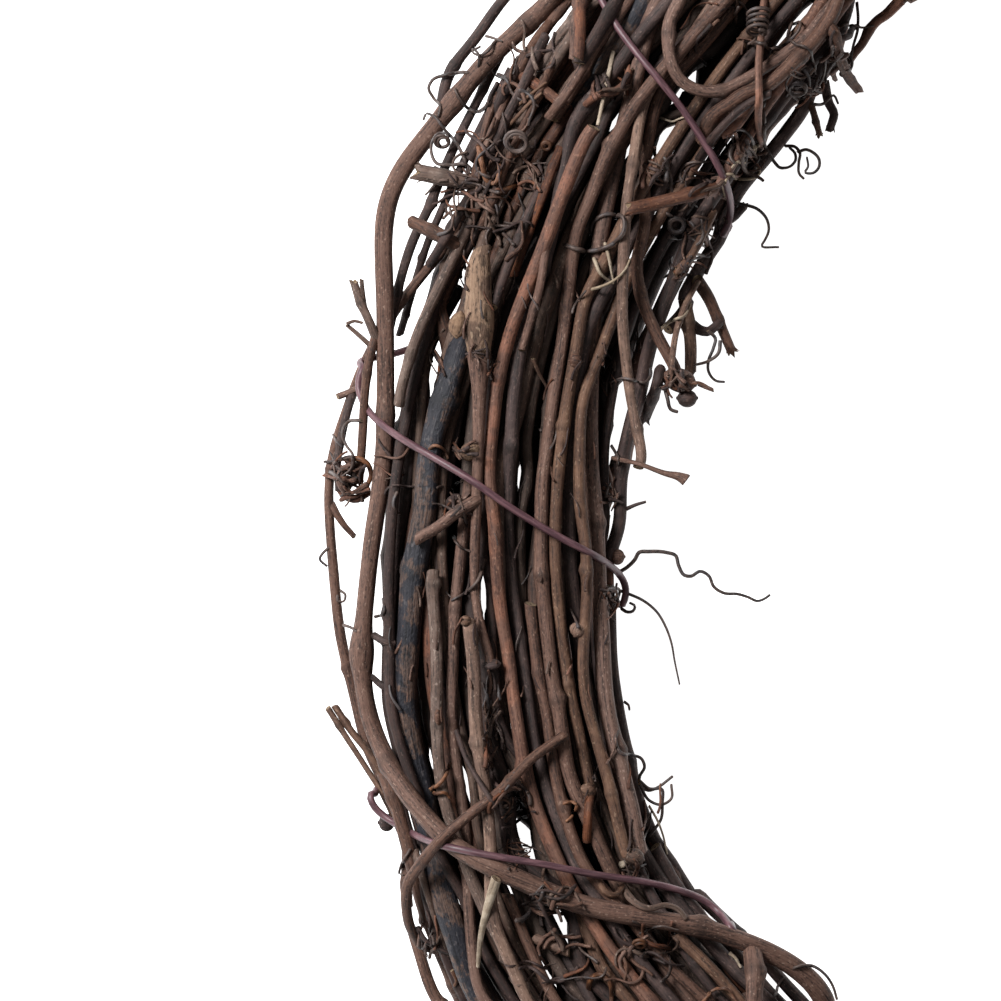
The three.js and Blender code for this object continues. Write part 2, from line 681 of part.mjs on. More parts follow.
/** Height at which a ball dropped at a place would rest on the bars, or null where it meets none. */
function restHeight(x, y, radius, obstacles) {
  let height = null;
  for (const bar of obstacles) {
    const dx = bar.b.x - bar.a.x;
    const dy = bar.b.y - bar.a.y;
    const square = dx * dx + dy * dy;
    const along = square > 0 ? ((x - bar.a.x) * dx + (y - bar.a.y) * dy) / square : 0;
    const t = THREE.MathUtils.clamp(along, 0, 1);
    const apart = Math.hypot(bar.a.x + t * dx - x, bar.a.y + t * dy - y);
    const need = radius + mix(bar.ra, bar.rb, t) + CLEARANCE;
    if (apart < need) {
      const top = mix(bar.a.z, bar.b.z, t) + Math.sqrt(need * need - apart * apart);
      height = height === null ? top : Math.max(height, top);
    }
  }
  return height;
}

/** Points of a pixel course, evened out along a smooth curve, at a spacing in millimetres. */
function evenCourse(course, spacing) {
  const flat = course.map((pixel) => fromPixel(pixel)).map(({ x, y }) => new THREE.Vector3(x, y, 0));
  const curve = new THREE.CatmullRomCurve3(flat, false, "centripetal");
  return curve.getSpacedPoints(Math.max(2, Math.round(curve.getLength() / spacing)));
}

/** Lay a course on the bars: each point rests on what lies under it, and free stretches follow on level. */
function layOn(points, radii, obstacles, rise) {
  const heights = points.map((point, i) => restHeight(point.x, point.y, radii[i], obstacles));
  const known = heights.map((height, i) => [i, height]).filter(([, height]) => height !== null);
  points.forEach((point, i) => {
    point.z = (known.length > 0 ? readAlong(known, i) : 0) + rise;
  });
}

/** The discs that a plane through the ring's axis cuts from the bars. */
function discsAt(ring, obstacles) {
  const discs = [];
  const outward = outwardAt(ring);
  const across = new THREE.Vector3(-outward.y, outward.x, 0);
  for (const bar of obstacles) {
    const sideA = bar.a.dot(across);
    const sideB = bar.b.dot(across);
    if (sideA * sideB > 0 || sideA === sideB || bar.a.dot(outward) < 0) continue;
    const t = sideA / (sideA - sideB);
    const slope = Math.abs(sideA - sideB) / bar.a.distanceTo(bar.b);
    discs.push({
      out: mix(bar.a.dot(outward), bar.b.dot(outward), t) - RING_RADIUS,
      rise: mix(bar.a.z, bar.b.z, t),
      radius: mix(bar.ra, bar.rb, t) / Math.max(0.6, slope),
    });
  }
  return discs;
}

/** Distance from the bundle's middle to the tight outline round the discs, in one direction. */
function outlineReach(discs, middle, round) {
  let reach = Infinity;
  for (let tilt = -75; tilt <= 75; tilt += 5) {
    const side = round + tilt * Math.PI / 180;
    let support = -Infinity;
    for (const disc of discs) {
      const lean = (disc.out - middle) * Math.cos(side) + disc.rise * Math.sin(side);
      support = Math.max(support, lean + disc.radius);
    }
    reach = Math.min(reach, support / Math.cos(tilt * Math.PI / 180));
  }
  return reach;
}

/** A point just outside the bundle at a ring angle and an angle round the bundle. */
function overBundle(ring, roundDegrees, clear, obstacles) {
  const round = THREE.MathUtils.degToRad(roundDegrees);
  const middle = bundleMiddle(ring);
  const reach = outlineReach(discsAt(ring, obstacles), middle, round) + clear;
  return { ring, out: middle + reach * Math.cos(round), rise: reach * Math.sin(round) };
}

/** The fat vine's points: as seen in view, then wound round the bundle on the rest of the ring. */
function layWrap(obstacles) {
  const radius = WRAP_DIAMETER / 2;
  const points = evenCourse(WRAP_BESIDE, WRAP_SPACING);
  points.forEach((point) => point.setZ(WRAP_BESIDE_HEIGHT));
  const over = evenCourse(WRAP_OVER, WRAP_SPACING);
  layOn(over, over.map(() => radius), obstacles, 0);
  points.push(...over);
  const seen = points.length;
  const rounds = WRAP_BEYOND_VIEW.map(({ ring, round }) => [-ring, round]);
  const last = rounds[rounds.length - 1][0];
  const rings = [];
  for (let ring = -54; ring > -last; ring -= WRAP_STEP) rings.push(ring);
  for (const ring of rings) {
    const place = overBundle(ring, readAlong(rounds, -ring), radius + CLEARANCE, obstacles);
    points.push(ringPoint(place.ring, place.out, place.rise));
  }
  const radii = points.map(() => radius);
  settleChain("vine_wrapped", points, radii, obstacles);
  const floor = Math.min(...points.map((point) => point.z));
  const feet = WRAP_FEET.map((foot) => {
    const nearestRing = rings.reduce((a, b) => (Math.abs(b - foot) < Math.abs(a - foot) ? b : a));
    return seen + rings.indexOf(nearestRing);
  });
  for (const foot of feet) points[foot].z = floor;
  return { points, radii, floor };
}

/** The wire's points: turn after turn round the bundle, tight over all that it binds. */
function layWire(obstacles) {
  const radius = WIRE_DIAMETER / 2;
  const points = [];
  for (let i = 0; i <= WIRE_TURNS * WIRE_STEPS - 4; i += 1) {
    const turn = Math.floor(i / WIRE_STEPS);
    const part = (i % WIRE_STEPS) / WIRE_STEPS * 2 * Math.PI;
    const { outer, inner } = WIRE_CROSSINGS[turn];
    const nextOuter = turn + 1 < WIRE_TURNS ? WIRE_CROSSINGS[turn + 1].outer : outer + WIRE_STEP_ON;
    const swing = Math.cos(part);
    const across = (1 - swing) / 2;
    const ring = part <= Math.PI ? mix(outer, inner, across) : mix(nextOuter, inner, across);
    const round = Math.atan2(BUNDLE_HALF_DEPTH * Math.sin(part), BUNDLE_HALF_WIDTH * swing);
    const place = overBundle(ring, THREE.MathUtils.radToDeg(round), radius + CLEARANCE + 0.15, obstacles);
    points.push(ringPoint(place.ring, place.out, place.rise));
  }
  const radii = points.map(() => radius);
  settleChain("wire_binding", points, radii, obstacles);
  return { points, radii };
}

/** The row whose bark is topmost at a place, and the point of its middle line there. */
function topRowAt(point, rows) {
  const { ring, out } = ringPlace(point);
  let best = null;
  for (const row of rows) {
    if (!rowFills(row, ring)) continue;
    const place = rowAt(row, ring);
    const aside = Math.max(0, Math.abs(place.out - out) - place.radius);
    const score = place.rise + place.radius - 2.5 * aside;
    if (best === null || score > best.score) best = { row, place, ring, score };
  }
  return best;
}

/** Grow a shoot from a row: root in the row's middle, tip free. Gives null where it can't keep clear. */
function growShoot(best, points, radii, obstacles) {
  const root = ringPoint(best.ring, best.place.out, best.place.rise);
  const chain = [root, ...points];
  const sizes = [Math.min(radii[0], best.place.radius * 0.8), ...radii];
  const lack = pushClear(chain, sizes, obstacles, { skip: best.row.name, held: 1, passes: 80 });
  const own = obstacles.filter((bar) => bar.owner === best.row.name);
  if (lack > 0.02) return null;
  for (let i = 2; i < chain.length; i += 1) {
    for (const bar of own) {
      const meet = nearest(chain[i - 1], chain[i], bar.a, bar.b);
      const touch = sizes[i] + mix(bar.ra, bar.rb, meet.t);
      if (i > 2 && meet.distance < touch + 0.1) return null;
    }
  }
  for (let i = 0; i + 1 < chain.length; i += 1) {
    for (let j = i + 2; j + 1 < chain.length; j += 1) {
      const meet = nearest(chain[i], chain[i + 1], chain[j], chain[j + 1]);
      if (meet.distance < sizes[i] + sizes[j] + 0.05) return null;
    }
  }
  return { owner: best.row.name, points: chain, radii: sizes };
}

/** The shoots in view, laid over what they cross, and those of the rest of the ring by rule. */
function growShoots(rows, obstacles) {
  const shoots = [];
  const keep = (shoot, sides) => {
    if (shoot === null) return;
    shoots.push({ ...shoot, sides });
    obstacles.push(...bars(shoot.owner, shoot.points.slice(1), shoot.radii.slice(1)));
  };
  const growSeen = (course, width, tip, rise, spacing, sides) => {
    const line = evenCourse(course, spacing);
    const best = topRowAt(line[0], rows);
    const points = line.slice(1);
    const radii = points.map((_, i) => mix(width, tip, (i + 1) / points.length) / 2);
    layOn(points, radii, obstacles.filter((bar) => bar.owner !== best.row.name), rise);
    const own = obstacles.filter((bar) => bar.owner === best.row.name);
    points.forEach((point, i) => {
      const over = i === 0 ? null : restHeight(point.x, point.y, radii[i], own);
      if (over !== null) point.z = Math.max(point.z, over + 0.15);
    });
    keep(growShoot(best, points, radii, obstacles), sides);
  };
  for (const { course, width, tip } of SPURS) growSeen(course, width, tip, 0, 5, 4);
  for (const { course, rise } of TENDRILS) growSeen(course, 1, 0.7, rise, 2.4, 3);

  const dice = new Dice(90331);
  for (let i = 0; i < SHOOTS_BEHIND_VIEW; i += 1) {
    const ring = 52 + 256 * (i + dice.between(0.1, 0.9)) / SHOOTS_BEHIND_VIEW;
    const side = [0, 1, 0, 2][i % 4];
    const ways = [dice.between(-20, 50), dice.between(130, 200), dice.between(60, 120)];
    const round = THREE.MathUtils.degToRad(ways[side]);
    const discs = rows.filter((row) => rowFills(row, wrapAngle(ring)))
      .map((row) => ({ row, place: rowAt(row, ring), ring }));
    const middle = bundleMiddle(ring);
    const lean = ({ place }) => (place.out - middle) * Math.cos(round) + place.rise * Math.sin(round);
    const best = discs.reduce((a, b) => (lean(a) + a.place.radius > lean(b) + b.place.radius ? a : b));
    const tendril = i % 3 === 0;
    const width = tendril ? 1 : dice.between(1.4, 2.6);
    const length = tendril ? dice.between(14, 30) : dice.between(7, 17);
    const sway = dice.between(-1, 1);
    const curl = dice.between(0.6, 1.3) * Math.sign(dice.between(-1, 1));
    const steps = tendril ? 9 : 3;
    const points = [];
    for (let n = 1; n <= steps; n += 1) {
      const reach = best.place.radius + 0.6 + length * (n / steps) * (tendril ? 0.55 : 0.8);
      const slide = tendril ? 4 * curl * Math.sin(n * 0.9) + sway * n : sway * 3 * n;
      const lift = tendril ? 2 * Math.sin(n * 0.7) : 0.6 * n;
      const turned = ring + THREE.MathUtils.radToDeg(slide / RING_RADIUS);
      points.push(ringPoint(turned, best.place.out + reach * Math.cos(round),
        Math.max(best.place.rise + reach * Math.sin(round) + lift, -BUNDLE_HALF_DEPTH)));
    }
    const radii = points.map((_, n) => mix(width, width * 0.7, n / steps) / 2);
    if (tendril && best.row.spursOnly) continue;
    keep(growShoot(best, points, radii, obstacles), tendril ? 3 : 4);
  }
  return shoots;
}

/** Lay the loose twigs one after another on what is already there. */
function layTwigs(obstacles) {
  return SURFACE_TWIGS.map((twig) => {
    const points = evenCourse(twig.course, twig.width > 1.5 ? 6 : 5);
    const radii = points.map((_, i) => mix(twig.width, twig.tip, i / (points.length - 1)) / 2);
    layOn(points, radii, obstacles, 0.05);
    settleChain(twig.name, points, radii, obstacles);
    return { ...twig, points, radii };
  });
}

/** How many of a solid's triangles are thinner than a sliver. */
function slivers(solid) {
  const { vertProperties, triVerts } = solid.getMesh();
  const corners = [new THREE.Vector3(), new THREE.Vector3(), new THREE.Vector3()];
  const triangle = new THREE.Triangle();
  let count = 0;
  for (let i = 0; i < triVerts.length; i += 3) {
    corners.forEach((corner, n) => corner.fromArray(vertProperties, triVerts[i + n] * 3));
    triangle.set(...corners);
    const sides = corners.map((corner, n) => corner.distanceTo(corners[(n + 1) % 3]));
    if (2 * triangle.getArea() < SLIVER * Math.max(...sides)) count += 1;
  }
  return count;
}

/** Join a shoot to its vine, turned about its own line until the joint has no slivers. */
function joinShoot(solid, shoot) {
  let best = null;
  for (let turn = 0; turn < 24; turn += 1) {
    const joined = solid.add(tube(freeStations(shoot.points, shoot.radii), shoot.sides, turn * 0.06));
    const count = slivers(joined);
    if (best === null || count < best.count) best = { joined, count };
  }
  return best.joined;
}

/** A finished solid as a named mesh in its tone. */
function meshOf(name, tone, solid) {
  const { vertProperties, triVerts } = solid.getMesh();
  const geometry = new THREE.BufferGeometry();
  geometry.setAttribute("position", new THREE.BufferAttribute(new Float32Array(vertProperties), 3));
  geometry.setIndex(new THREE.BufferAttribute(new Uint32Array(triVerts), 1));
  const material = new THREE.MeshStandardMaterial({ ...TONES[tone], metalness: 0 });
  const mesh = new THREE.Mesh(geometry, material);
  mesh.name = name;
  return mesh;
}

const rows = makeRows();
if (settleRows(rows) > TOUCH) throw new Error("the rows find no room");
const obstacles = [];
const rowSolids = new Map();
for (const row of rows) {
  const stations = rowStations(row);
  obstacles.push(...bars(row.name, stations.map((s) => s.centre), stations.map((s) => s.radius)));
  const sides = row.hold.includes(1) && row.width > 2.4 ? 5 : 4;
  rowSolids.set(row.name, tube(stations, sides));
}

const wrap = layWrap(obstacles);
const twigs = layTwigs(obstacles);
const wire = layWire(obstacles);
const shoots = growShoots(rows, obstacles);

const group = new THREE.Group();
for (const row of rows) {
  let solid = rowSolids.get(row.name);
  for (const shoot of shoots.filter((s) => s.owner === row.name)) solid = joinShoot(solid, shoot);
  group.add(meshOf(row.name, row.tone, solid));
}

// The fat vine is planed flat where it passes under the bundle, and the wreath rests on these spots
const floorHeight = wrap.floor - WRAP_DIAMETER / 2 + FOOT_CUT;
const below = new THREE.BoxGeometry(500, 500, 10).translate(0, 0, floorHeight - 5);
const wrapSolid = tube(freeStations(wrap.points, wrap.radii), 6).subtract(solidFrom(below));
group.add(meshOf("vine_wrapped", "brown", wrapSolid));
group.add(meshOf("wire_binding", "wire", tube(freeStations(wire.points, wire.radii), 4)));
for (const twig of twigs) {
  group.add(meshOf(twig.name, twig.tone, tube(freeStations(twig.points, twig.radii), twig.sides)));
}

const box = new THREE.Box3().setFromObject(group);
group.position.set(-(box.min.x + box.max.x) / 2, -(box.min.y + box.max.y) / 2, -box.min.z);

export default group;
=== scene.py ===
"""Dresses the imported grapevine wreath: bark on every vine, knots, cut ends, tendrils and binding wire.

Shapes are worked out in millimetres from the ring's centre, and become metres in the object's own
frame when they are put into a mesh. The ring angle is counted in degrees upward from the leftmost
point, out is the distance outward from the ring's mean radius, and rise is the height over the
middle of the bundle.
"""

import json
import logging
import math
from dataclasses import dataclass, field, replace
from enum import Enum
from functools import cache
from typing import Any

import bpy
import numpy as np
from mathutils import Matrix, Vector


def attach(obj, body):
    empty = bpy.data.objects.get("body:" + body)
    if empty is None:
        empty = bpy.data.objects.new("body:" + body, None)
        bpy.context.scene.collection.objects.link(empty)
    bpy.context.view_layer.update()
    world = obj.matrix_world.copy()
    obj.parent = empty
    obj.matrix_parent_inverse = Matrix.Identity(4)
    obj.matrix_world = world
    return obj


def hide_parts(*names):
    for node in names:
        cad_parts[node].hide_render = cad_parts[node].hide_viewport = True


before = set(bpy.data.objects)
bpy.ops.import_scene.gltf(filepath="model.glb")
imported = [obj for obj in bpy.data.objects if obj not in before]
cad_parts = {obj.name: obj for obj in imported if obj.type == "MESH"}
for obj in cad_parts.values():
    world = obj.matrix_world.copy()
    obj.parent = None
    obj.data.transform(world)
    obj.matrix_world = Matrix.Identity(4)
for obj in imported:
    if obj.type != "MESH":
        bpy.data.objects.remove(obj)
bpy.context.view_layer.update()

LOG = logging.getLogger("wreath")
BODY = "root"

# The bundle: where its middle lies, and its size. The bulge's spreads and its place are ring angles.
RING_CENTRE = np.array([-0.39, -2.41, 20.80])
RING_RADIUS = 148.4
HALF_WIDTH = 24.0
HALF_DEPTH = 15.0
LEAN = -1.5
DIP = -4.5
DIP_SPREAD = 24.0
BULGE = 18.0
BULGE_RING = 68.0
BULGE_NEAR_SPREAD = 12.0
BULGE_FAR_SPREAD = 28.0
MM_PER_PIXEL = 0.209
RING_CENTRE_PIXEL = np.array([1177.0, 570.0])

# How the ring is cut into planes, where the view ends, and how finely a strand is stepped, in degrees.
PLANES = 240
FINE = 960
VIEW_EDGE = 52.0
SEEN_STEPS, HIDDEN_STEPS = (0.36, 1.0), (0.55, 1.5)

# The crusted stub: its neck's pixel, and its widths at rows of the photograph, in pixels.
STUB = "cane_stub_lichen"
STUB_NECK = (480, 356)
STUB_ROWS = (252, 262, 275, 300, 316, 330, 350, 380, 400, 430, 520, 660)
STUB_WIDTHS = (16, 22, 26, 27, 33, 33, 25, 18, 14, 11.5, 10, 9.5)

# Vines between the layers and the pieces that hold them, fibres of a torn end, and how deep a knob sinks.
# For the shoots beyond the view: their number, the order of their three ways out, how near to a shoot's
# tip the node must have a corner, and the part of the photograph, in pixels, that they stay out of.
DEEP = "deep"
DEEP_STRANDS = 46
DEEP_PIECES = 4
SPLINTERS = 6
KNOB_SINK = 0.62
SHOOTS_BEYOND = 36
WAY_ORDER = (0, 1, 0, 2)
TIP_GAP = 4.0
VIEW_MIDDLE, VIEW_HALF = 500, 510

# How a node's sections are told: gaps and nearness in degrees, and sizes in millimetres.
SECTION_GAP, NEAR_TENTH, AT_START, PAST_END = 0.006, 0.02, 0.03, 0.05
SECTION_REACH, SECTION_SPREAD, SECTION_RADIUS = 4.5, 0.35, 4.0

# How vines settle: passes, how far two may press into each other, how little one held to its course gives
# way, how much of a push each takes, the share of the passes that also draw a vine back, and how strongly
# to its place, its seen course, its height and its neighbours. Then, in degrees of ring angle, how far a
# seen course fades into the node's own, and how near to a slit and how far from it a vine bows aside.
SETTLE_PASSES = 90
PRESS = 0.12
HELD_SHARE = 0.85
PUSH_SHARE = 0.45
CALM_SHARE = 0.75
DRAW_OUT, DRAW_HELD, DRAW_RISE, DRAW_EVEN = 0.10, 0.15, 0.06, 0.35
FADE_DEGREES = 7.0
SLIT_BESIDE, SLIT_FADE = 0.35, 3.0

# Waves of the bark, lengthwise ridges and lumps: height, lobes round the strand, and millimetres along it.
RIDGES = ((0.9, 2, 41), (0.6, 3, -27), (0.5, 5, 33))
LUMPS = ((1.0, 0, 9.5), (0.6, 1, 3.7), (0.5, -2, 2.1))

# A rounded end and a cut one, as shares of the radius: how far in and how high they stand.
ROUND_IN, ROUND_LIFT, ROUND_TOP = 0.8, 0.45, 0.75
CUT_IN, CUT_LIFT, PITH_SINK, CUT_CORE = 0.9, 0.06, 0.04, 0.88

# How things rest on the pile: how far they sink in, and how far aside bars are looked for.
SINK = 0.1
REACH_ASIDE = 9.0

# Kinks and steps between knots, in millimetres, and the width from which a stick has knots.
SEEN_KINK, HIDDEN_KINK = 0.35, 0.6
ROW_KNOT_GAPS, TWIG_KNOT_GAPS, WOUND_KNOT_GAPS = (26, 62), (14, 30), (60, 120)
KNOTTED_WIDTH = 1.3

# A radius that stands for no disc at all, a millimetre in metres, the near-black of the painted shade deep in
# the bundle, and white.
NO_DISC = -1000.0
MILLI = 0.001
PAINTED_SHADE = (0.007, 0.0055, 0.005)
WHITE = (1.0, 1.0, 1.0, 1.0)

# The first seed of each kind of strand.
WIRE_SEED, FAT_VINE_SEED, DEEP_SEED, RULE_SEED = 9, 77, 611, 90331
ROW_SEED, TWIG_SEED, SEEN_SEED, SPLINTER_SEED, SHOOT_SEED = 1000, 3000, 4000, 4400, 5000
KNOB_SEED, COIL_SEED, TANGLE_SEED, CURL_SEED = 6000, 6200, 6500, 7000

Array = np.ndarray
Socket = bpy.types.NodeSocket
Colour = tuple[float, float, float]
Pixel = tuple[float, float]
Pixels = tuple[Pixel, ...]


class Finish(Enum):
    """The barks and woods that the wreath's pieces are made of."""

    BROWN = "bark_brown"
    REDDISH = "bark_red"
    GREYISH = "bark_grey"
    LIGHT = "bark_light"
    DARK = "bark_dark"
    STAINED = "bark_stained"
    CRUSTED = "bark_rough"
    PALE = "wood_pale"
    CHARCOAL = "tendril_charcoal"
    RUSTY = "tendril_rusty"
    COAT = "wire_coat"
    CUT = "cut_wood"


class End(Enum):
    """How a strand ends."""

    CUT = "cut"
    TORN = "torn"
    ROUND = "round"


@dataclass(frozen=True)
class SeenVine:
    """One ring vine: its finish, its height over the layer, and its courses in view with their lifts."""

    finish: Finish
    level: float
    courses: tuple[tuple[float, Pixels], ...]


@dataclass(frozen=True)
class Stick:
    """A twig, spur or tendril in view, from its root to its tip, with widths in millimetres."""

    finish: Finish
    width: float
    tip: float
    rise: float
    end: End
    course: Pixels


@dataclass(frozen=True)
class Coil:
    """A tendril wound round: its pixel, radius in pixels, turns, travel, and how open it looks."""

    finish: Finish
    width: float
    spot: Pixel
    radius: float
    turns: float
    travel: Pixel
    open: float


@dataclass(frozen=True)
class Knob:
    """A gnarled lump: its pixel, length and width in millimetres, and its slope in the picture."""

    finish: Finish
    spot: Pixel
    long: float
    wide: float
    slope: float


@dataclass(frozen=True)
class Tangle:
    """A patch of dry curls and shreds: its pixel and reach in pixels, and how many of what size."""

    spot: Pixel
    reach: Pixel
    count: int
    width: float
    long: float
    curl: float


def read_word(word: str) -> Any:
    """A table's word as what it says: a finish, an end, another name, a number, or a pixel as x,y.

    Args:
        word: One word of a table.

    Returns:
        What the word stands for.
    """
    for names in (Finish, End):
        if word in names.__members__:
            return names[word]
    if word[0].isalpha():
        return word
    numbers = tuple(json.loads(f"[{word}]"))
    return numbers if len(numbers) > 1 else numbers[0]


def read_rows(table: str) -> list[tuple[Any, ...]]:
    """The rows of a table, which semicolons part, each as the values of its words."""
    return [tuple(read_word(word) for word in row.split()) for row in table.split(";")]


def read_stick(row: tuple[Any, ...]) -> Stick:
    """A stick from its finish, width, tip width, rise and end, and the pixels of its course."""
    return Stick(*row[:5], row[5:])


def read_vine(row: tuple[Any, ...]) -> SeenVine:
    """A ring vine from its finish and level, and its courses, before each of which its lift stands.

    Args:
        row: The values of the vine's row, without its name.

    Returns:
        The vine.
    """
    courses: list[tuple[float, Pixels]] = []
    for word in row[2:]:
        if isinstance(word, tuple):
            courses[-1] = (courses[-1][0], (*courses[-1][1], word))
        else:
            courses.append((word, ()))
    return SeenVine(row[0], row[1], tuple(courses))


RING_VINES: dict[str, SeenVine] = {name: read_vine(tuple(row)) for name, *row in read_rows("""
vine_outer_thin BROWN 0 11 548,20 528,60 508,108 486,160 465,205 450,242 0 448,246 410,290 394,312 372,345
    358,375 346,408 334,440 327,475 327,520 332,580 338,640 353,700 366,755 385,790 400,820 412,855 424,890
    436,930 442,956 0 412,940 420,966 430,1000;
vine_outer_dark DARK -1 0 499,0 483,25 470,45 450,63 443,80 442,100 0 460,286 444,310 430,340 420,370
    414,400 412,440 404,505 398,540 394,580 390,620 388,660 388,710 395,740 405,775;
cane_stained STAINED -0.5 -5 545,150 520,200 500,250 484,290 0 470,325 460,345 450,382 440,410 432,440
    428,470 425,520 418,550 412,600 410,630 407,660 406,710 412,750 418,776 430,830 440,880 450,920 460,950
    470,985;
vine_outer_grey GREYISH 1.5 -5.5 560,30 530,90 500,150 480,200 466,236 0 456,256 448,272 436,296 420,330
    406,370 397,402 0 433,572 434,600 438,640 438,680 438,716 439,745 441,775 445,800;
vine_forked BROWN 0 0 625,0 610,30 592,60 580,86 566,104 554,118 0 508,890 526,936 546,980 556,1000;
cane_stub_lichen CRUSTED 2 0 480,252 481,290 480,325 481,390 480,420 478,500 476,540 475,580 477,610
    484,640 492,662;
vine_grey_long BROWN 0 3.5 578,0 578,30 577,62 0 470,480 462,540 458,580 454,620 453,660 451,710 453,740
    457,770 461,800 465,830 467,870 469,910 473,950 476,990;
vine_russet REDDISH 0.8 0 780,66 760,90 740,120 726,140 0 590,130 576,165 562,200 548,240 538,266 528,290
    516,320 506,354 500,380 493,430 489,480 494,520 497,580 502,620 509,660 514,700;
vine_dark_long DARK -0.8 0 572,120 568,150 562,180 556,210 545,260 532,300 520,350 514,400 512,440 509,480
    508,540 511,580 516,620 524,680;
vine_red_cut REDDISH 1.5 0 800,60 770,100 745,140 730,165 715,190 0 537,380 532,410 528,450 526,480 523,520
    520,560 518,600 520,640 519,680 520,740 523,765 530,790 540,820 554,844 574,864 596,882 630,905 664,930
    680,960 696,984;
vine_brown_long BROWN 1 0.5 660,86 648,140 642,180 636,220 634,250 3.5 634,256 636,280 640,300 652,326
    664,350 676,370 684,380 0 530,604 534,640 538,680 546,710 550,740 555,770 562,800 574,840 588,870
    615,900 640,930 670,966 700,994;
vine_middle_brown BROWN -0.2 0 575,230 569,290 562,350 554,400 548,450 544,480 543,520 542,560 545,600
    548,640 552,680 558,710 562,740 566,770;
vine_middle_knobbed LIGHT 0.2 0 582,300 575,350 566,400 560,450 557,480 555,560 558,600 562,640 568,680
    574,710 580,740 590,790 0 580,912 590,940 600,966;
vine_middle_dark DARK -0.8 0 585,330 578,380 572,430 569,480 569,520 570,560 574,600 578,640 590,700;
vine_inner_light LIGHT 1.4 0 582,400 580,450 580,500 586,540 588,580 585,630 583,660 588,710 594,730
    602,760 610,790 616,820 622,844 624,856 0 676,934 710,966 736,996;
vine_inner_stout BROWN 0.4 0 656,0 640,60 626,120 612,180 600,240 596,280 593,320 591,380 590,440 592,480
    596,520 598,560 600,600 603,650 606,700 614,740 624,780 632,810 638,852 0 742,1000 770,1035;
vine_inner_edge DARK -0.6 0 700,215 680,260 662,310 650,345 640,395 629,435 622,480 622,530 619,556 0
    606,585 610,600 614,640 620,690 628,730 634,760 644,790 656,820 670,840 684,864 700,896 730,925 760,955
    790,990;
vine_hanging_cut LIGHT 2.5 0 646,90 640,112 632,160 626,200 622,282 622,320 626,360 630,390 636,420 642,450
    644,468 0 466,621 472,650 474,680 474,710 478,750 486,800 490,850 492,920 510,960 526,1000;
vine_inner_thin DARK -1.8 0 660,250 628,330 614,390 606,440 604,480 606,520;
vine_inner_purple DARK -0.8 -3 841,-10 832,20 824,50 816,80 808,104 794,122 775,146 755,168 735,194 722,230
    712,256 700,280 690,300 682,316 668,326 0 655,850 690,905 740,960""")}

BACK_TONES = (Finish.BROWN, Finish.DARK, Finish.GREYISH, Finish.REDDISH, Finish.LIGHT)
TANGLE_TONES = (Finish.DARK, Finish.CHARCOAL, Finish.BROWN, Finish.DARK, Finish.GREYISH, Finish.CHARCOAL,
                Finish.REDDISH, Finish.BROWN)
BACK_VINES = tuple(f"vine_back_{i:02d}" for i in range(1, 13))
INSIDE_VINES = tuple(f"vine_inside_{i}" for i in range(1, 8))
SLITS: list[tuple[float, Pixels]] = [(half_width, tuple(course)) for half_width, *course in read_rows("""
5 670,160 670,128; 4.5 712,158 726,134 742,107; 3 706,115 723,98; 4 725,83 752,47; 4.5 760,82 780,63;
2.5 777,47 810,3; 1.5 727,58 738,42; 5 769,104 785,90; 3 777,132 793,108; 4 683,87 698,73;
3 615,122 625,105; 2 629,150 633,140; 2 645,255 650,215; 1.5 465,270 468,260; 2 457,297 463,282;
2 445,332 452,317; 2 434,362 438,342; 2.5 431,388 436,364; 2 399,285 403,275; 1.5 403,478 407,458;
0.8 517,480 520,472; 2 606,545 611,527; 2.5 602,445 606,415; 4.5 613,455 624,400;
1.2 484,590 485,605 483,630; 2.5 511,708 514,735; 2.5 464,775 467,792; 1.5 430,762 431,767;
1.5 577,709 578,714; 2 522,812 526,818; 4 522,834 528,848; 1.5 392,795 394,801; 2 419,921 422,932;
1 420,891 421,893; 1 458,905 462,909; 2 552,901 558,915; 1.5 564,921 568,930; 2.5 542,970 549,978;
1.5 592,957 595,967; 1 508,884 511,893; 3 707,949 711,954; 6 422,950 436,985 444,1006; 9 765,974 775,980;
9 783,985 795,995; 1.5 722,924 727,930""")]
INNER_EDGES: list[Pixels] = read_rows("""
690,298 708,266 735,226 762,184 790,146 818,108 834,80 844,50 850,20 856,-10 862,-44;
700,895 679,862 661,836 646,800 637,760 628,720 621,680 618,640 617,600""")

WOUND_BESIDE, = read_rows("""
566,-24 548,2 528,20 510,36 480,66 456,96 430,130 412,152 396,176 386,200 383,225 384,290 385,350 385,410
    384,450 381,480 373,530 366,590 362,630 360,652 362,680 366,710 380,754""")
WOUND_OVER, = read_rows("""
394,776 412,800 432,822 454,844 480,858 510,872 540,886 580,902 620,911 660,918 700,926 740,940 770,953
    800,971 822,992 836,1014""")
WOUND_BEYOND = np.array(read_rows("""
-55,205 -63.5,270 -74,340 -92,382 -118,450 -146,525 -162,580 -172.4,630 -183,690 -202,742 -228,810 -256,890
    -270,940 -281.3,990 -291,1050 -302,1082""")[0])
WOUND_FEET = (-63.5, -172.4, -281.3)
FOOT_REACH, FOOT_HEIGHT = 9, 1.5
WOUND_DIAMETER = 4.0
WOUND_HEIGHT = 5.0
WOUND_TAKEN_UP = -54.0
WOUND_NODE = (361, 652)
WOUND_KNOB = (462, 104)

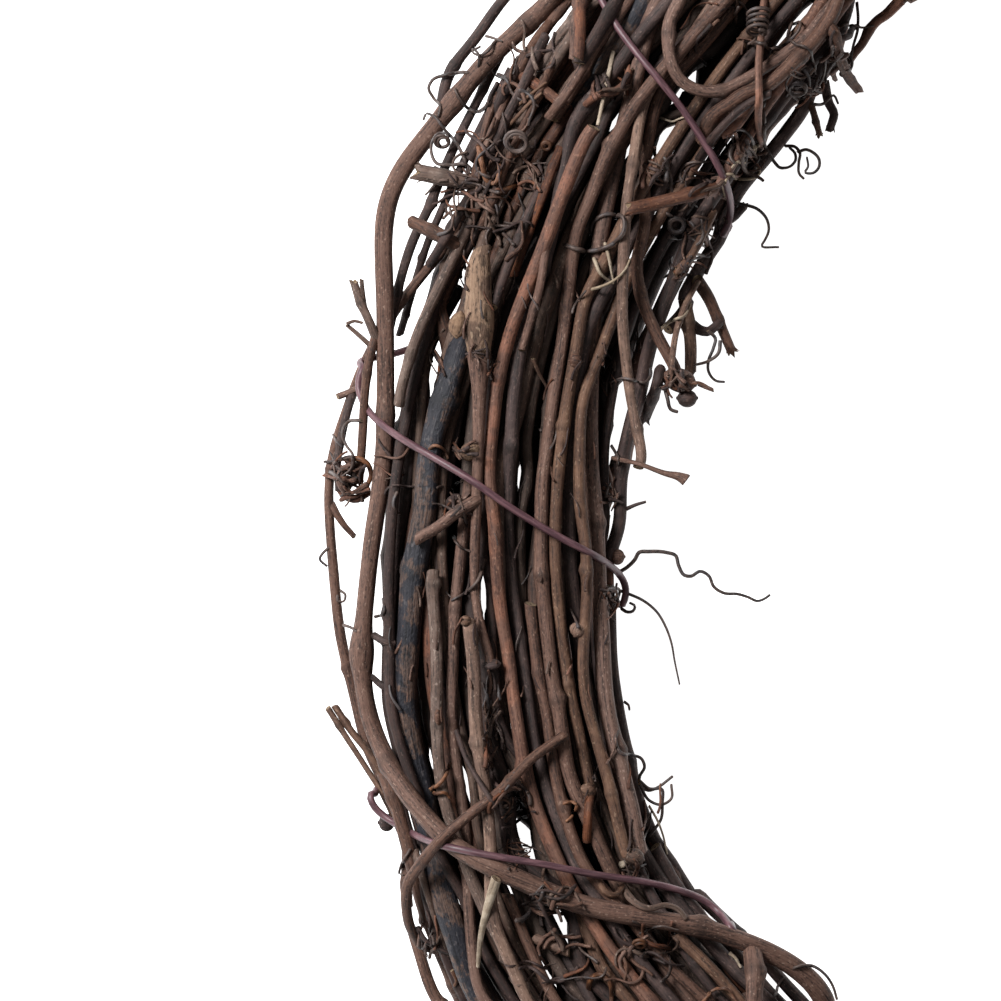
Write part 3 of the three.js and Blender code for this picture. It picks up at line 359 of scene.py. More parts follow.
WIRE_DIAMETER = 1.55
WIRE_TURNS = 10
WIRE_STEPS = 72
WIRE_SHORT = 14
WIRE_CROSSINGS = ((47.0, 38.4), (14.1, -3.2), (-15.9, -38.6))
WIRE_STRIDE, WIRE_SLANT = 36.1, 18
WIRE_SEEN: list[Pixels] = read_rows("""
597,-6 600,0 620,35 640,62 660,86 680,110 700,140 716,165 726,185 733,205 731,220 722,236;
362,366 357,378 360,400 368,412 380,424 400,438 424,452 448,466 478,484 500,501 520,514 550,532 580,548
    600,558 614,568 624,578 628,590 623,608;
368,796 372,810 384,820 400,830 420,838 460,846 500,854 540,860 600,874 640,880 680,891 706,902 724,918
    732,930""")

LOOSE_TWIGS: dict[str, Stick] = {name: read_stick(tuple(row)) for name, *row in read_rows("""
vine_u_turn BROWN 2.6 2.3 0 CUT 681,-6 678,4 669,24 667,45 670,66 680,84 700,94 722,93 742,83 760,72 785,55
    806,38 820,20 836,0 845,-12;
twig_looped BROWN 2.3 2.2 0 CUT 440,958 420,948 410,932 406,910 408,884 420,864 440,838 470,812 500,788
    530,758 561,736;
twig_split_pale PALE 2.1 0.8 0 TORN 496,876 486,910 480,940 478,966;
twig_thin_pale PALE 1 0.8 0 CUT 613,54 605,90 597,128;
twig_curved_thin DARK 1.2 1 0 CUT 456,730 466,756 480,780 496,806 502,824 504,846;
twig_trumpet BROWN 1 2.7 0 CUT 613,458 640,465 665,474 678,477 684,480;
twig_outer_long LIGHT 1.4 1.3 0 CUT 326,712 345,742 362,768 382,800 397,834""")}
SPURS_SEEN: list[Stick] = [read_stick(row) for row in read_rows("""
BROWN 3.4 2.9 0 CUT 455,245 440,236 413,222;
GREYISH 3 3.2 0 TORN 472,183 452,179 427,174;
REDDISH 2.6 2.9 0.6 TORN 712,190 690,196 660,204 635,210;
BROWN 2.9 2.2 0 TORN 700,280 710,295 720,317 732,345;
LIGHT 2.6 2.3 0 TORN 686,300 690,325 692,345 692,367;
LIGHT 1.5 1.3 0 CUT 699,280 685,307 677,330 670,375;
LIGHT 1.6 1.9 0.8 TORN 714,212 704,232 697,246 690,258 680,268;
BROWN 2.6 2.4 0.4 CUT 477,500 455,514 438,527 419,538;
BROWN 3.1 2.9 1.2 CUT 702,138 713,117 727,107 745,96 763,90 778,78 793,63 808,48 820,33 830,17 838,-4;
DARK 2 1.8 0 CUT 698,160 710,142 728,122 748,106 766,98;
REDDISH 1.6 1.5 2 CUT 764,-8 759,40 756,70 756,100 757,125 762,143;
REDDISH 1.7 2.6 0 TORN 846,70 857,50 865,40 872,27 880,17 890,10 900,0;
BROWN 2.4 2 0.8 TORN 820,25 830,33 838,55 850,75 858,83;
DARK 1.6 1.3 0 CUT 830,38 839,40 847,38 855,25 860,22;
DARK 2.1 1.8 0 TORN 828,82 832,100 837,110 834,122;
LIGHT 1.5 1.3 0 TORN 812,98 816,112 821,130;
DARK 2.1 1.8 0 TORN 728,219 736,214 743,207;
GREYISH 2.1 1.8 0 TORN 376,338 366,315 359,300 354,284;
GREYISH 1.3 1 0 TORN 364,308 362,292 361,281;
GREYISH 1.2 0.9 0 CUT 371,346 358,334 345,323;
GREYISH 0.8 0.6 0 CUT 345,322 352,319 361,321;
DARK 1.9 1.6 0 CUT 392,643 386,642 374,636;
DARK 1.5 1.2 0 CUT 388,688 382,686 372,678;
BROWN 1.5 1.4 0 CUT 359,386 350,390 337,395;
RUSTY 1.4 1.2 1.4 CUT 520,182 508,189 497,195 487,202;
LIGHT 1.3 1 0.8 CUT 488,201 485,206 487,211 491,213;
DARK 2.5 2.6 0 TORN 660,372 655,392 647,415;
REDDISH 2 1.8 0.4 CUT 590,790 588,810 586,840;
REDDISH 2.5 2.3 1.2 CUT 517,72 530,81 545,92 564,107;
BROWN 1.9 1.9 1.6 CUT 636,-8 618,18 590,58 566,95 549,118;
DARK 2.9 2.7 0.4 CUT 620,-4 605,22 592,45 580,64;
REDDISH 1.8 1.6 0.6 TORN 583,108 600,97 613,95 623,87 628,75;
BROWN 4 3.4 0 CUT 752,950 754,975 752,1004;
BROWN 1.8 1.3 0 CUT 329,505 335,516 342,526 351,536;
LIGHT 1.6 1.5 0 CUT 334,711 350,735 364,752 378,775 392,801;
LIGHT 2.3 2.2 0 CUT 538,939 552,944 567,950;
GREYISH 1.5 1 0.6 CUT 622,886 632,899 648,906 665,903 678,908 684,916;
LIGHT 1.6 1.4 0.6 CUT 598,880 606,891 616,893 622,886;
BROWN 1 0.8 0 CUT 699,384 705,387 712,390;
DARK 1 0.8 0 CUT 536,892 548,918 560,944;
LIGHT 1 0.6 0 TORN 533,360 538,372 546,386;
DARK 0.9 0.6 0 CUT 627,509 636,505 646,502;
DARK 2.2 1.8 0.2 CUT 545,36 524,84 506,120 492,150 478,176;
DARK 2.6 2.2 0 CUT 520,60 500,100 484,132 470,158;
BROWN 1.7 1.5 0 CUT 496,96 488,118 482,140;
DARK 2.4 2 0.4 CUT 470,196 458,216 446,238 430,262;
PALE 0.9 0.5 0.8 CUT 605,245 609,262 613,282;
PALE 0.9 0.5 0.8 CUT 594,260 600,275 613,284;
PALE 0.8 0.5 1 CUT 588,291 600,288 613,282 625,270 629,261;
DARK 1.1 0.9 0 CUT 404,838 410,850 404,862 400,872;
DARK 2.1 1.9 -7 CUT 500,52 480,92 460,132 445,165 430,202 412,240 398,285 389,325;
DARK 1.9 1.7 -6 CUT 510,70 488,112 470,148 452,185 440,212 428,240 412,288 399,330;
BROWN 2.2 2 -3 CUT 560,8 536,40 516,76 498,112 484,146 474,178;
GREYISH 2.4 2 -4 CUT 590,10 564,48 540,88 518,126 500,160 484,196;
BROWN 1.9 1.7 -1 CUT 556,56 540,92 524,126 506,164 494,196 480,228;
REDDISH 1.9 1.6 0.6 CUT 560,150 548,182 536,214 524,246 514,276;
DARK 2.2 2 -3 CUT 540,190 526,222 514,252 502,282 494,306;
BROWN 2.1 1.9 0 TORN 374,338 368,364 364,395 362,425 360,455 358,478;
DARK 1.8 1.5 0 CUT 352,388 346,410 340,436 336,462 337,490;
REDDISH 1.7 1.4 0 TORN 337,489 344,497 355,500 366,494;
RUSTY 1.3 1 0.8 ROUND 346,461 356,458 366,463 370,474 366,486;
BROWN 1.6 1.2 0.6 TORN 344,492 338,482 340,470 350,464;
BROWN 3 2.8 -9 CUT 384,778 394,802 404,836 413,872 422,908 434,944 448,980 460,1010;
DARK 2.4 2.2 -10 CUT 400,806 410,842 420,878 430,912 441,948 455,984 468,1012;
GREYISH 1.6 1.4 -7 CUT 414,846 424,884 436,922 448,956;
DARK 1.1 0.9 0.6 TORN 417,930 424,942 434,950 446,955;
DARK 2.6 2 0 TORN 692,322 702,329 710,330 718,324;
BROWN 1.7 1.5 0.8 CUT 506,100 496,122 486,146 478,166;
LIGHT 0.9 0.7 0.8 CUT 505,130 518,117 530,104 541,95;
LIGHT 0.8 0.6 0.8 CUT 512,112 528,98 546,84;
REDDISH 2.6 2.3 1.6 CUT 578,-6 579,30 577,60;
BROWN 2 1.7 0 CUT 545,252 540,286 530,322 522,350""")]
TENDRILS_SEEN: list[Stick] = [read_stick(row) for row in read_rows("""
CHARCOAL 0.85 0.6 1 ROUND 618,574 628,568 636,560 640,553 650,552 668,553 677,556 680,566 686,576 692,577
    702,572 710,576 716,588 726,594 740,595 750,598 760,602 768,599 772,596;
CHARCOAL 0.7 0.4 0.5 ROUND 622,592 630,595 645,602 658,613 667,628 673,645 676,662 681,686;
CHARCOAL 1.1 0.8 0.9 ROUND 565,246 580,251 600,250 615,243 623,232 622,220 612,215 600,217 592,225 591,235;
CHARCOAL 0.8 0.6 1 ROUND 618,728 615,740 620,752 632,756 642,760 645,768 640,778 640,785 648,792 660,788
    668,782 673,778;
CHARCOAL 0.8 0.6 0.6 ROUND 640,782 650,790 662,790 663,805 662,820 650,838;
CHARCOAL 0.7 0.6 0.8 ROUND 640,785 650,802 662,806 672,800 672,786;
CHARCOAL 0.8 0.5 2 ROUND 743,36 744,42 750,45 760,48 773,49 785,45 793,38 798,30 798,23 794,22 789,30
    787,40 792,47 803,52 813,62 817,73 816,85 810,93 800,97 790,93 785,87 787,80 793,75;
CHARCOAL 0.9 0.6 1.2 ROUND 762,100 763,122 764,138 770,150 776,159 782,165 792,164 798,157 797,150 792,145;
CHARCOAL 0.8 0.6 0.8 ROUND 789,143 797,144 802,150 801,160 802,172 806,176;
CHARCOAL 0.8 0.5 0.8 ROUND 801,149 808,147 815,150 821,157 821,165 815,171 807,170 810,165 809,155;
CHARCOAL 0.8 0.5 1 ROUND 735,200 745,202 760,207 769,217 771,228 767,238 764,243 781,245;
CHARCOAL 0.9 0.7 1 ROUND 663,212 676,218 690,221 697,232;
CHARCOAL 0.7 0.5 1 ROUND 860,-2 861,15 860,27 856,42 852,60 847,70;
CHARCOAL 0.7 0.5 1.4 ROUND 828,33 840,27 852,22 865,24 876,22;
CHARCOAL 0.7 0.5 1.2 ROUND 840,57 845,52 852,54 855,60 851,69 845,70;
CHARCOAL 0.8 0.5 0.8 ROUND 810,102 825,101 837,92 841,100;
CHARCOAL 0.9 0.6 1 ROUND 474,74 470,72 458,70 445,72 432,77 428,85 433,95 440,105 438,115;
CHARCOAL 0.9 0.6 1 ROUND 470,178 464,158 455,140 444,128 432,114 426,112 423,118;
CHARCOAL 0.9 0.6 1.2 ROUND 474,172 465,164 450,164 436,162 431,152 432,140 438,132 447,133 448,140;
CHARCOAL 1 0.6 1.4 ROUND 497,82 490,96 486,106 478,110 466,105 458,95 455,88;
CHARCOAL 0.7 0.5 1.2 ROUND 502,38 495,40 488,50 480,54 472,50 480,45;
CHARCOAL 0.7 0.5 0.8 ROUND 486,34 492,36 502,40;
CHARCOAL 0.8 0.5 0.8 ROUND 478,70 479,60 478,52 472,46;
CHARCOAL 0.9 0.6 0.8 ROUND 710,330 717,337 715,347 710,360 710,370 718,380 726,381;
CHARCOAL 0.9 0.6 0.8 ROUND 722,340 720,352 710,360 696,364;
CHARCOAL 0.9 0.7 0.8 ROUND 664,385 667,398 671,410 677,412;
CHARCOAL 0.8 0.6 0.8 ROUND 649,364 651,375 646,382 635,381 620,379 610,382;
CHARCOAL 0.7 0.5 0.6 ROUND 612,446 617,455 618,470;
CHARCOAL 0.7 0.6 0.4 ROUND 330,546 322,552 317,560 324,567;
CHARCOAL 0.8 0.6 1 ROUND 788,972 800,967 812,967 825,975 834,988 838,1001;
CHARCOAL 0.8 0.6 0.6 ROUND 773,1003 778,992 785,980;
CHARCOAL 0.8 0.5 1 ROUND 360,420 347,421 341,432 345,445 352,455 351,467 340,470 336,476;
CHARCOAL 0.7 0.5 0.6 ROUND 331,434 334,440 340,446;
CHARCOAL 0.8 0.5 0.8 ROUND 450,530 456,542 462,548 470,551;
CHARCOAL 0.7 0.5 0.4 ROUND 410,850 403,862 399,872 398,879 402,880;
CHARCOAL 0.7 0.5 0.8 ROUND 374,618 382,615 384,606 381,600;
CHARCOAL 0.6 0.5 0.4 ROUND 338,592 343,596 341,603 335,602 335,597;
CHARCOAL 0.7 0.5 0.4 ROUND 343,626 350,628 356,632;
CHARCOAL 0.8 0.6 0.8 ROUND 623,610 628,613 634,612 636,607 631,604;
CHARCOAL 0.7 0.5 0.4 ROUND 625,703 629,706 630,711;
CHARCOAL 0.9 0.6 0.6 ROUND 484,560 478,580 466,592 452,600;
CHARCOAL 0.8 0.5 1 ROUND 600,602 604,594 612,588 620,590 618,600 610,606;
RUSTY 1.2 0.9 1.4 ROUND 478,145 482,165 488,182 495,184 499,175 499,162;
RUSTY 0.8 0.6 0.8 ROUND 688,384 698,383 712,390;
RUSTY 1.2 0.9 1.2 ROUND 588,990 590,978 600,972 608,978 611,990 611,1003;
RUSTY 0.9 0.6 1 ROUND 427,453 434,446 443,449 448,458;
RUSTY 0.9 0.7 0.8 ROUND 430,790 440,782 447,772 450,763;
RUSTY 0.8 0.6 0.6 ROUND 434,793 446,792 450,797;
RUSTY 0.8 0.6 1.2 ROUND 700,1003 712,990 725,986 733,995 738,1004;
RUSTY 0.8 0.6 1 ROUND 627,940 622,950 626,965 624,978;
RUSTY 1 0.7 0.5 ROUND 452,975 456,985 454,990;
RUSTY 0.9 0.6 1 ROUND 560,805 566,801 576,803 574,812 566,820;
PALE 0.7 0.5 1.4 ROUND 722,175 735,176 747,177 757,175 762,168 757,165;
PALE 0.7 0.5 1.4 ROUND 755,145 752,155 745,162 735,164 731,169;
PALE 0.7 0.5 1.2 ROUND 727,177 724,185 726,195 735,200;
PALE 0.7 0.4 1 ROUND 762,143 756,147 757,153 752,160;
PALE 0.8 0.5 1.2 ROUND 660,330 670,321 685,315 692,302;
PALE 0.8 0.5 0.8 ROUND 730,954 735,958 741,968;
PALE 0.6 0.4 0.6 ROUND 650,808 658,822 664,838 668,856;
PALE 0.5 0.4 0.8 ROUND 660,118 672,122 684,119 694,124""")]
COILS_SEEN: list[Coil] = [Coil(*row) for row in read_rows("""
CHARCOAL 0.85 756,16 10.5 4.2 -2,22 0.36; CHARCOAL 0.9 676,225 8 1.9 1,1 0.9;
CHARCOAL 0.9 515,142 11 2.2 2,4 0.85; RUSTY 0.8 546,146 4.5 1.4 0,1 0.9;
CHARCOAL 0.8 440,140 7 1.6 4,2 0.8; CHARCOAL 0.7 796,92 9 1.5 3,-4 0.7; RUSTY 0.8 638,940 6 1.4 1,4 0.6;
CHARCOAL 0.7 612,594 5 1.5 1,1 0.8""")]
KNOBS_SEEN: list[Knob] = [Knob(*row) for row in read_rows("""
GREYISH 531,179 4.6 4 40; DARK 577,63 1.7 3.4 0; BROWN 356,470 5 3.2 75; DARK 347,482 4 2.8 20;
CRUSTED 459,326 5.4 3.4 80; CRUSTED 471,452 4.6 3.8 20; DARK 454,501 4 3.2 30; BROWN 575,362 2.6 2.8 0;
BROWN 679,380 7.2 4.8 -15; DARK 687,398 4.2 3.6 0; LIGHT 578,630 3 2.9 60; BROWN 438,717 1.6 3.6 0;
LIGHT 587,790 3.4 3 0; LIGHT 466,620 2.4 2.2 0; BROWN 618,557 3 2.6 0; GREYISH 634,856 4.2 3.4 -20;
PALE 622,865 2.2 1.9 30; DARK 385,827 3.4 3.2 0; GREYISH 560,946 3.4 2.6 -20; DARK 830,55 3.4 3 60;
BROWN 720,118 4 3.2 50; DARK 809,84 3.2 2.6 20; DARK 492,664 3.6 2.2 10""")]
TANGLES_SEEN: list[Tangle] = [Tangle(*row) for row in read_rows("""
484,158 24,30 13 0.7 9 0.13; 462,190 26,18 11 0.7 9 0.13; 450,212 16,20 7 0.7 9 0.13;
500,222 26,26 13 0.7 9 0.13; 516,150 18,20 8 0.7 9 0.13; 531,178 13,13 14 0.7 5 0.13;
525,70 24,40 12 0.7 9 0.13; 606,93 20,9 12 0.9 5 0.1; 660,172 16,10 12 0.9 6 0.13;
702,182 18,14 10 0.7 9 0.13; 738,156 22,14 18 0.8 6 0.13; 805,82 18,14 14 0.7 6 0.13;
832,60 14,18 12 0.9 5 0.13; 680,268 9,8 10 0.7 4.5 0.2; 700,240 24,26 12 0.7 9 0.13;
340,468 10,20 14 0.7 5 0.13; 354,484 14,16 16 0.9 4.5 0.13; 396,470 14,40 6 0.7 9 0.13;
467,450 12,10 8 0.7 4 0.13; 455,505 14,14 12 0.8 5 0.13; 607,368 9,24 18 0.4 4 0;
637,342 6,16 10 0.4 4 0; 611,496 5,8 14 0.6 3 0.13; 676,382 14,9 14 0.8 4 0.13; 492,716 9,44 22 0.7 6 0;
490,735 7,30 16 0.35 6 0; 510,800 16,22 20 0.7 6 0.13; 521,846 13,16 26 0.35 5 0.13;
545,905 24,20 14 0.8 9 0.13; 560,965 34,30 14 0.8 9 0.13; 640,950 30,30 14 0.8 9 0.13;
632,870 12,14 14 0.5 4 0.13; 428,945 10,14 8 0.7 6 0; 610,600 10,16 12 0.6 4 0.13;
627,630 5,8 6 0.8 3.5 0; 735,25 40,34 10 0.7 9 0.13; 560,560 70,150 26 0.5 5 0;
440,640 60,110 26 0.5 5 0; 620,790 40,60 16 0.5 5 0; 530,330 70,70 18 0.5 5 0; 436,360 5,28 9 0.6 5 0;
480,356 14,6 9 0.6 4 0.13; 465,272 4,16 7 0.5 4 0""")]


def unit(vectors: Array) -> Array:
    """Vectors divided by their own lengths."""
    return vectors / np.maximum(np.linalg.norm(vectors, axis=-1, keepdims=True), 1e-9)


def wrap_angle(degrees: Array) -> Array:
    """Angles brought to between -180 and 180 degrees."""
    return (np.asarray(degrees, dtype=float) + 180.0) % 360.0 - 180.0


def from_pixels(spots: Pixel | Pixels) -> Array:
    """One pixel of the photograph or several, as millimetres from the ring's centre."""
    return (np.array(spots, dtype=float) - RING_CENTRE_PIXEL) * MM_PER_PIXEL * (1.0, -1.0)


def to_pixels(points: Array) -> Array:
    """The photograph's pixels that points lie under, one row for each."""
    return RING_CENTRE_PIXEL + points[:, :2] * (1, -1) / MM_PER_PIXEL


def ring_place(points: Array) -> tuple[Array, Array]:
    """Ring angle and out of points whose first two columns are x and y."""
    ring = np.degrees(np.arctan2(points[..., 1], -points[..., 0]))
    return ring, np.hypot(points[..., 0], points[..., 1]) - RING_RADIUS


def ring_points(ring: Array, out: Array, rise: Array) -> Array:
    """Points at ring angles, outs and rises: x is -reach cos, y is reach sin, and z is the rise.

    Args:
        ring: Ring angles, in degrees.
        out: Distances outward from the ring's mean radius.
        rise: Heights over the bundle's middle.

    Returns:
        One row of x, y and z for each.
    """
    angle = np.radians(ring)
    reach = RING_RADIUS + out
    return np.stack(np.broadcast_arrays(-reach * np.cos(angle), reach * np.sin(angle), rise), axis=-1)


def bundle_middle(ring: Array) -> Array:
    """Where the bundle's middle lies: a lean, a dip inward at the left, and a bulge at the upper right.

    Both fade as bell curves, and the bulge's is steeper on the side in view.

    Args:
        ring: Ring angles, in degrees.

    Returns:
        How far out the middle lies at each.
    """
    past = wrap_angle(ring - BULGE_RING)
    spread = np.where(past < 0, BULGE_NEAR_SPREAD, BULGE_FAR_SPREAD)
    dip = DIP * np.exp(-((wrap_angle(ring) / DIP_SPREAD) ** 2))
    return LEAN + dip + BULGE * np.exp(-((past / spread) ** 2))


def round_middle(ring: Array, reach: Array, round_way: Array) -> Array:
    """Points at a distance from the bundle's middle, in a direction turned up from outward by degrees."""
    way = np.radians(round_way)
    return ring_points(ring, bundle_middle(ring) + reach * np.cos(way), reach * np.sin(way))


def off_middle(path: Array) -> Array:
    """The way from the bundle's middle to each point of a path."""
    ring, _ = ring_place(path)
    return path - ring_points(ring, bundle_middle(ring), np.zeros(len(path)))


def smooth_step(value: Array) -> Array:
    """Nought below nought, one above one, and an even S between."""
    value = np.clip(value, 0.0, 1.0)
    return value * value * (3 - 2 * value)


def unshaded_share(points: Array) -> Array:
    """How free of painted shade a place is: nought deep in the bundle, where shade falls, one at its surface.

    It is an even S over the distance from the bundle's middle, counted in half widths and half depths.

    Args:
        points: The places, in millimetres.

    Returns:
        The share for each place.
    """
    ring, out = ring_place(points)
    aside = (out - bundle_middle(ring)) / (HALF_WIDTH + 2)
    return smooth_step((np.hypot(aside, points[..., 2] / HALF_DEPTH) - 0.68) / 0.34)


def smoothed(values: Array, reach: float) -> Array:
    """Each value averaged with its neighbours round the ring, weighted by a bell curve.

    Args:
        values: one row for each strand, one column for each plane round the ring.
        reach: the bell curve's width, in planes.

    Returns:
        The averaged values.
    """
    count = values.shape[-1]
    place = np.minimum(np.arange(count), count - np.arange(count))
    bell = np.exp(-0.5 * (place / reach) ** 2)
    spread = np.fft.rfft(bell / bell.sum())
    return np.fft.irfft(np.fft.rfft(values, axis=-1) * spread, n=count, axis=-1)


def path_length(points: Array) -> Array:
    """Distance along a path at each of its points."""
    return np.concatenate([[0.0], np.cumsum(np.linalg.norm(np.diff(points, axis=0), axis=1))])


def even_path(points: Array, spacing: float) -> Array:
    """A smooth curve through points, cut into even steps.

    Between two points the curve is the cubic that has, at each of them, the slope of the line
    between its neighbours. It is then read at even distances along itself.

    Args:
        points: The places, in millimetres.
        spacing: The length of a step.

    Returns:
        Points at even steps, both ends kept.
    """
    length = path_length(points)
    slope = np.gradient(points, length, axis=0)
    turn = np.linspace(0.0, 1.0, 24, endpoint=False)[None, :, None]
    step = np.diff(length)[:, None, None]
    a, b = points[:-1, None], points[1:, None]
    sa, sb = slope[:-1, None] * step, slope[1:, None] * step
    curve = (a * (2 * turn**3 - 3 * turn**2 + 1) + sa * (turn**3 - 2 * turn**2 + turn)
             + b * (3 * turn**2 - 2 * turn**3) + sb * (turn**3 - turn**2))
    curve = np.concatenate([curve.reshape(-1, points.shape[1]), points[-1:]])
    length = path_length(curve)
    steps = max(2, int(round(length[-1] / spacing)))
    at = np.linspace(0.0, length[-1], steps + 1)
    return np.stack([np.interp(at, length, curve[:, k]) for k in range(points.shape[1])], axis=1)


def taut(along: Array, height: Array) -> Array:
    """The lowest line with no dip that passes over every height, as a tight cord would lie.

    At each place it is the highest of all the straight chords between one point before and one after.

    Args:
        along: Distances along the path.
        height: The height at each.

    Returns:
        The line's height at each distance.
    """
    run = along[None, :] - along[:, None]
    rising = (height[None, :] - height[:, None]) / np.where(run > 0, run, np.inf)
    best = height.copy()
    for k in range(1, len(along) - 1):
        chords = height[:k, None] + rising[:k, k + 1:] * (along[k] - along[:k, None])
        best[k] = max(height[k], chords.max())
    return best


@dataclass
class Pile:
    """The round bars laid so far, on which later pieces come to rest."""

    a: Array = field(default_factory=lambda: np.zeros((0, 3)))
    b: Array = field(default_factory=lambda: np.zeros((0, 3)))
    ra: Array = field(default_factory=lambda: np.zeros(0))
    rb: Array = field(default_factory=lambda: np.zeros(0))

    def add(self, points: Array, radii: Array, every: int = 1) -> None:
        """Adds a path's stretches, taking one point in so many.

        Args:
            points: The places, in millimetres.
            radii: The radius at each point.
            every: How many points make one stretch.
        """
        pick = np.unique(np.r_[np.arange(0, len(points), every), len(points) - 1])
        p, r = points[pick], radii[pick]
        self.a = np.concatenate([self.a, p[:-1]])
        self.b = np.concatenate([self.b, p[1:]])
        self.ra = np.concatenate([self.ra, r[:-1]])
        self.rb = np.concatenate([self.rb, r[1:]])

    def rest_height(self, places: Array, radii: Array) -> Array:
        """Height at which a ball dropped at each place would rest, or nan where it meets nothing.

        The nearest place of each bar, seen from above, gives the bar's height there, and the ball
        stands over it by the height of the right-angled triangle whose long side is both radii,
        less what the ball presses into it.

        Args:
            places: x and y of each ball.
            radii: each ball's radius.

        Returns:
            The height of each ball's middle.
        """
        low, high = places.min(axis=0) - REACH_ASIDE, places.max(axis=0) + REACH_ASIDE
        lo2, hi2 = np.minimum(self.a, self.b)[:, :2], np.maximum(self.a, self.b)[:, :2]
        near = ((hi2 > low) & (lo2 < high)).all(axis=1)
        if not near.any():
            return np.full(len(places), np.nan)
        a, b, ra, rb = self.a[near], self.b[near], self.ra[near], self.rb[near]
        step = (b - a)[None, :, :2]
        gap = places[:, None, :2] - a[None, :, :2]
        t = np.clip((gap * step).sum(-1) / np.maximum((step**2).sum(-1), 1e-9), 0.0, 1.0)
        apart = np.linalg.norm(gap - t[..., None] * step, axis=-1)
        need = radii[:, None] + ra + t * (rb - ra) - SINK
        top = a[:, 2] + t * (b - a)[:, 2] + np.sqrt(np.maximum(need**2 - apart**2, 0.0))
        top = np.where(apart < need, top, -np.inf).max(axis=1)
        return np.where(np.isfinite(top), top, np.nan)

    def lay(self, path: Array, radii: Array, stiff: bool) -> Array:
        """Heights of a flat path laid on the pile; a stiff one bridges every dip.

        Args:
            path: x and y of the path's points.
            radii: the radius at each point.
            stiff: whether it spans the dips like a stick, or follows them like a tendril.

        Returns:
            The height of each point.
        """
        height = self.rest_height(path, radii)
        known = np.isfinite(height)
        if not known.any():
            return np.zeros(len(path))
        along = path_length(path)
        height = np.interp(along, along[known], height[known])
        if stiff:
            height = taut(along, height)
        edge = np.r_[height[0], height, height[-1]]
        return np.maximum(height, 0.25 * edge[:-2] + 0.5 * edge[1:-1] + 0.25 * edge[2:])


@dataclass
class Strand:
    """A round strand along a path, with its bark."""

    points: Array
    radii: Array
    finish: Finish
    sides: int = 10
    seed: int = 0
    facing: Array | None = None
    start: End = End.CUT
    end: End = End.CUT
    knots: Array = field(default_factory=lambda: np.zeros(0))
    swell: float = 0.3
    ridge: float = 0.035
    lump: float = 0.03
    floor: bool = False


@dataclass
class Skin:
    """A closed surface round one strand, ready to be joined with others."""

    corners: Array
    quads: Array
    triangles: Array
    quad_cut: Array
    triangle_cut: Array
    bark: Array
    tone: Array
    # clear: one at the surface, nought deep in the bundle, where the bark is darkened as painted shade.
    clear: Array
    knot: Array
    core: Array
    finish: Finish


def cross_frame(strand: Strand) -> tuple[Array, Array, Array]:
    """Directions along, beside and above a strand's path.

    Beside is square to the path and nearest to the facing direction. Where none is given, that is
    the direction in which the path runs least.

    Args:
        strand: The strand.

    Returns:
        Three directions for each point.
    """
    along = unit(np.gradient(strand.points, axis=0))
    facing = strand.facing
    if facing is None:
        _, axes = np.linalg.eigh(along.T @ along)
        facing = np.broadcast_to(axes[:, 0], along.shape)
    beside = unit(facing - (facing * along).sum(-1, keepdims=True) * along)
    return along, beside, np.cross(along, beside)


